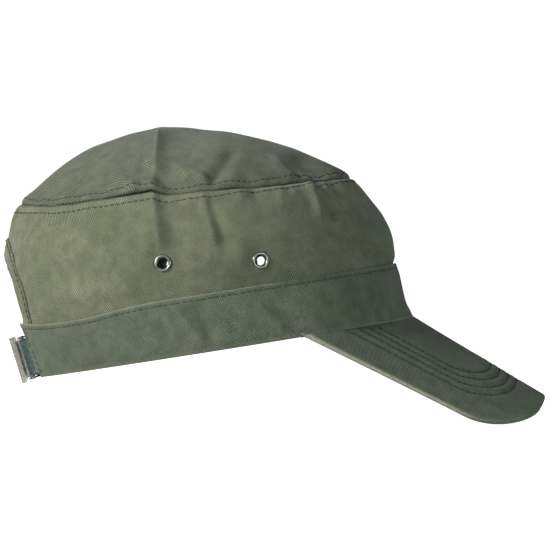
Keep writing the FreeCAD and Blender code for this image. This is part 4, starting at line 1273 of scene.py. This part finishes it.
def floor_material():
    """Pale grey cloth that a camera sees as white."""
    material, tree, shader = node_tree("studio_floor")
    grain = noise_node(tree, object_place(tree), 90.0, 3.0)
    link(tree, mix_colour(tree, grain, (0.62, 0.62, 0.62), (0.66, 0.66, 0.66)),
         shader.inputs["Base Color"])
    set_inputs(shader, {"Roughness": 0.9, "Specular IOR Level": 0.0, "Emission Color": WHITE})
    path = tree.nodes.new("ShaderNodeLightPath")
    link(tree, path.outputs["Is Camera Ray"], shader.inputs["Emission Strength"])
    return material


floor_mesh = bpy.data.meshes.new("studio_floor")
floor_mesh.from_pydata([(30 * x, 30 * y, 0) for x, y in ((-1, -1), (1, -1), (1, 1), (-1, 1))], [],
                       [(0, 1, 2, 3)])
floor = bpy.data.objects.new("studio_floor", floor_mesh)
bpy.context.scene.collection.objects.link(floor)
dress(floor, floor_material())

CROWN_MIDDLE = Vector(to_model([0, 0, 60]))


def area_light(name, place, size, power, colour):
    """A round lamp that shines on the middle of the crown."""
    lamp = bpy.data.lights.new(name, "AREA")
    lamp.shape = "DISK"
    lamp.size = size
    lamp.energy = power
    lamp.color = colour
    light = bpy.data.objects.new(name, lamp)
    light.location = place
    light.rotation_euler = (CROWN_MIDDLE - Vector(place)).to_track_quat("-Z", "Y").to_euler()
    bpy.context.scene.collection.objects.link(light)


# name, place, size, power, colour
for lamp_row in (("key_left", (-1.75, -1.05, 0.75), 0.7, 60.0, (1.0, 0.975, 0.91)),
                 ("fill_front", (1.2, -1.9, 0.08), 1.4, 30.0, (0.84, 1.0, 0.92)),
                 ("rim_rear", (-0.9, 1.2, 1.2), 0.9, 5.0, (0.96, 0.99, 1.0))):
    area_light(*lamp_row)

world = bpy.data.worlds.new("studio_world")
world.use_nodes = True
bpy.context.scene.world = world
backdrop = world.node_tree.nodes["Background"]
set_inputs(backdrop, {"Color": WHITE, "Strength": 0.15})
# the camera sees a white sky, which lights the cap less than it shows
bright = world.node_tree.nodes.new("ShaderNodeBackground")
set_inputs(bright, {"Color": WHITE, "Strength": 1.05})
seen = world.node_tree.nodes.new("ShaderNodeLightPath")
choose = world.node_tree.nodes.new("ShaderNodeMixShader")
for source, socket in (
        (seen.outputs["Is Camera Ray"], choose.inputs["Fac"]),
        (backdrop.outputs[0], choose.inputs[1]), (bright.outputs[0], choose.inputs[2]),
        (choose.outputs[0], world.node_tree.nodes["World Output"].inputs["Surface"])):
    link(world.node_tree, source, socket)
bpy.context.scene.view_settings.view_transform = "Standard"

CAMERA_DISTANCE = 2.2
VIEW_WIDTH = 0.286
CAMERA_ROLL = math.radians(4.9)
SENSOR = 36
target = Vector(to_model([33.1, 0.0, 32.9]))
camera_data = bpy.data.cameras.new("camera")
camera_data.sensor_width = SENSOR
camera_data.lens = SENSOR * CAMERA_DISTANCE / VIEW_WIDTH
camera_data.clip_end = 100
camera = bpy.data.objects.new("camera", camera_data)
camera.matrix_world = (Matrix.Translation(target + Vector((0, -CAMERA_DISTANCE, 0)))
                       @ Matrix.Rotation(-CAMERA_ROLL, 4, "Y") @ Matrix.Rotation(math.pi / 2, 4, "X"))
bpy.context.scene.collection.objects.link(camera)
bpy.context.scene.camera = camera
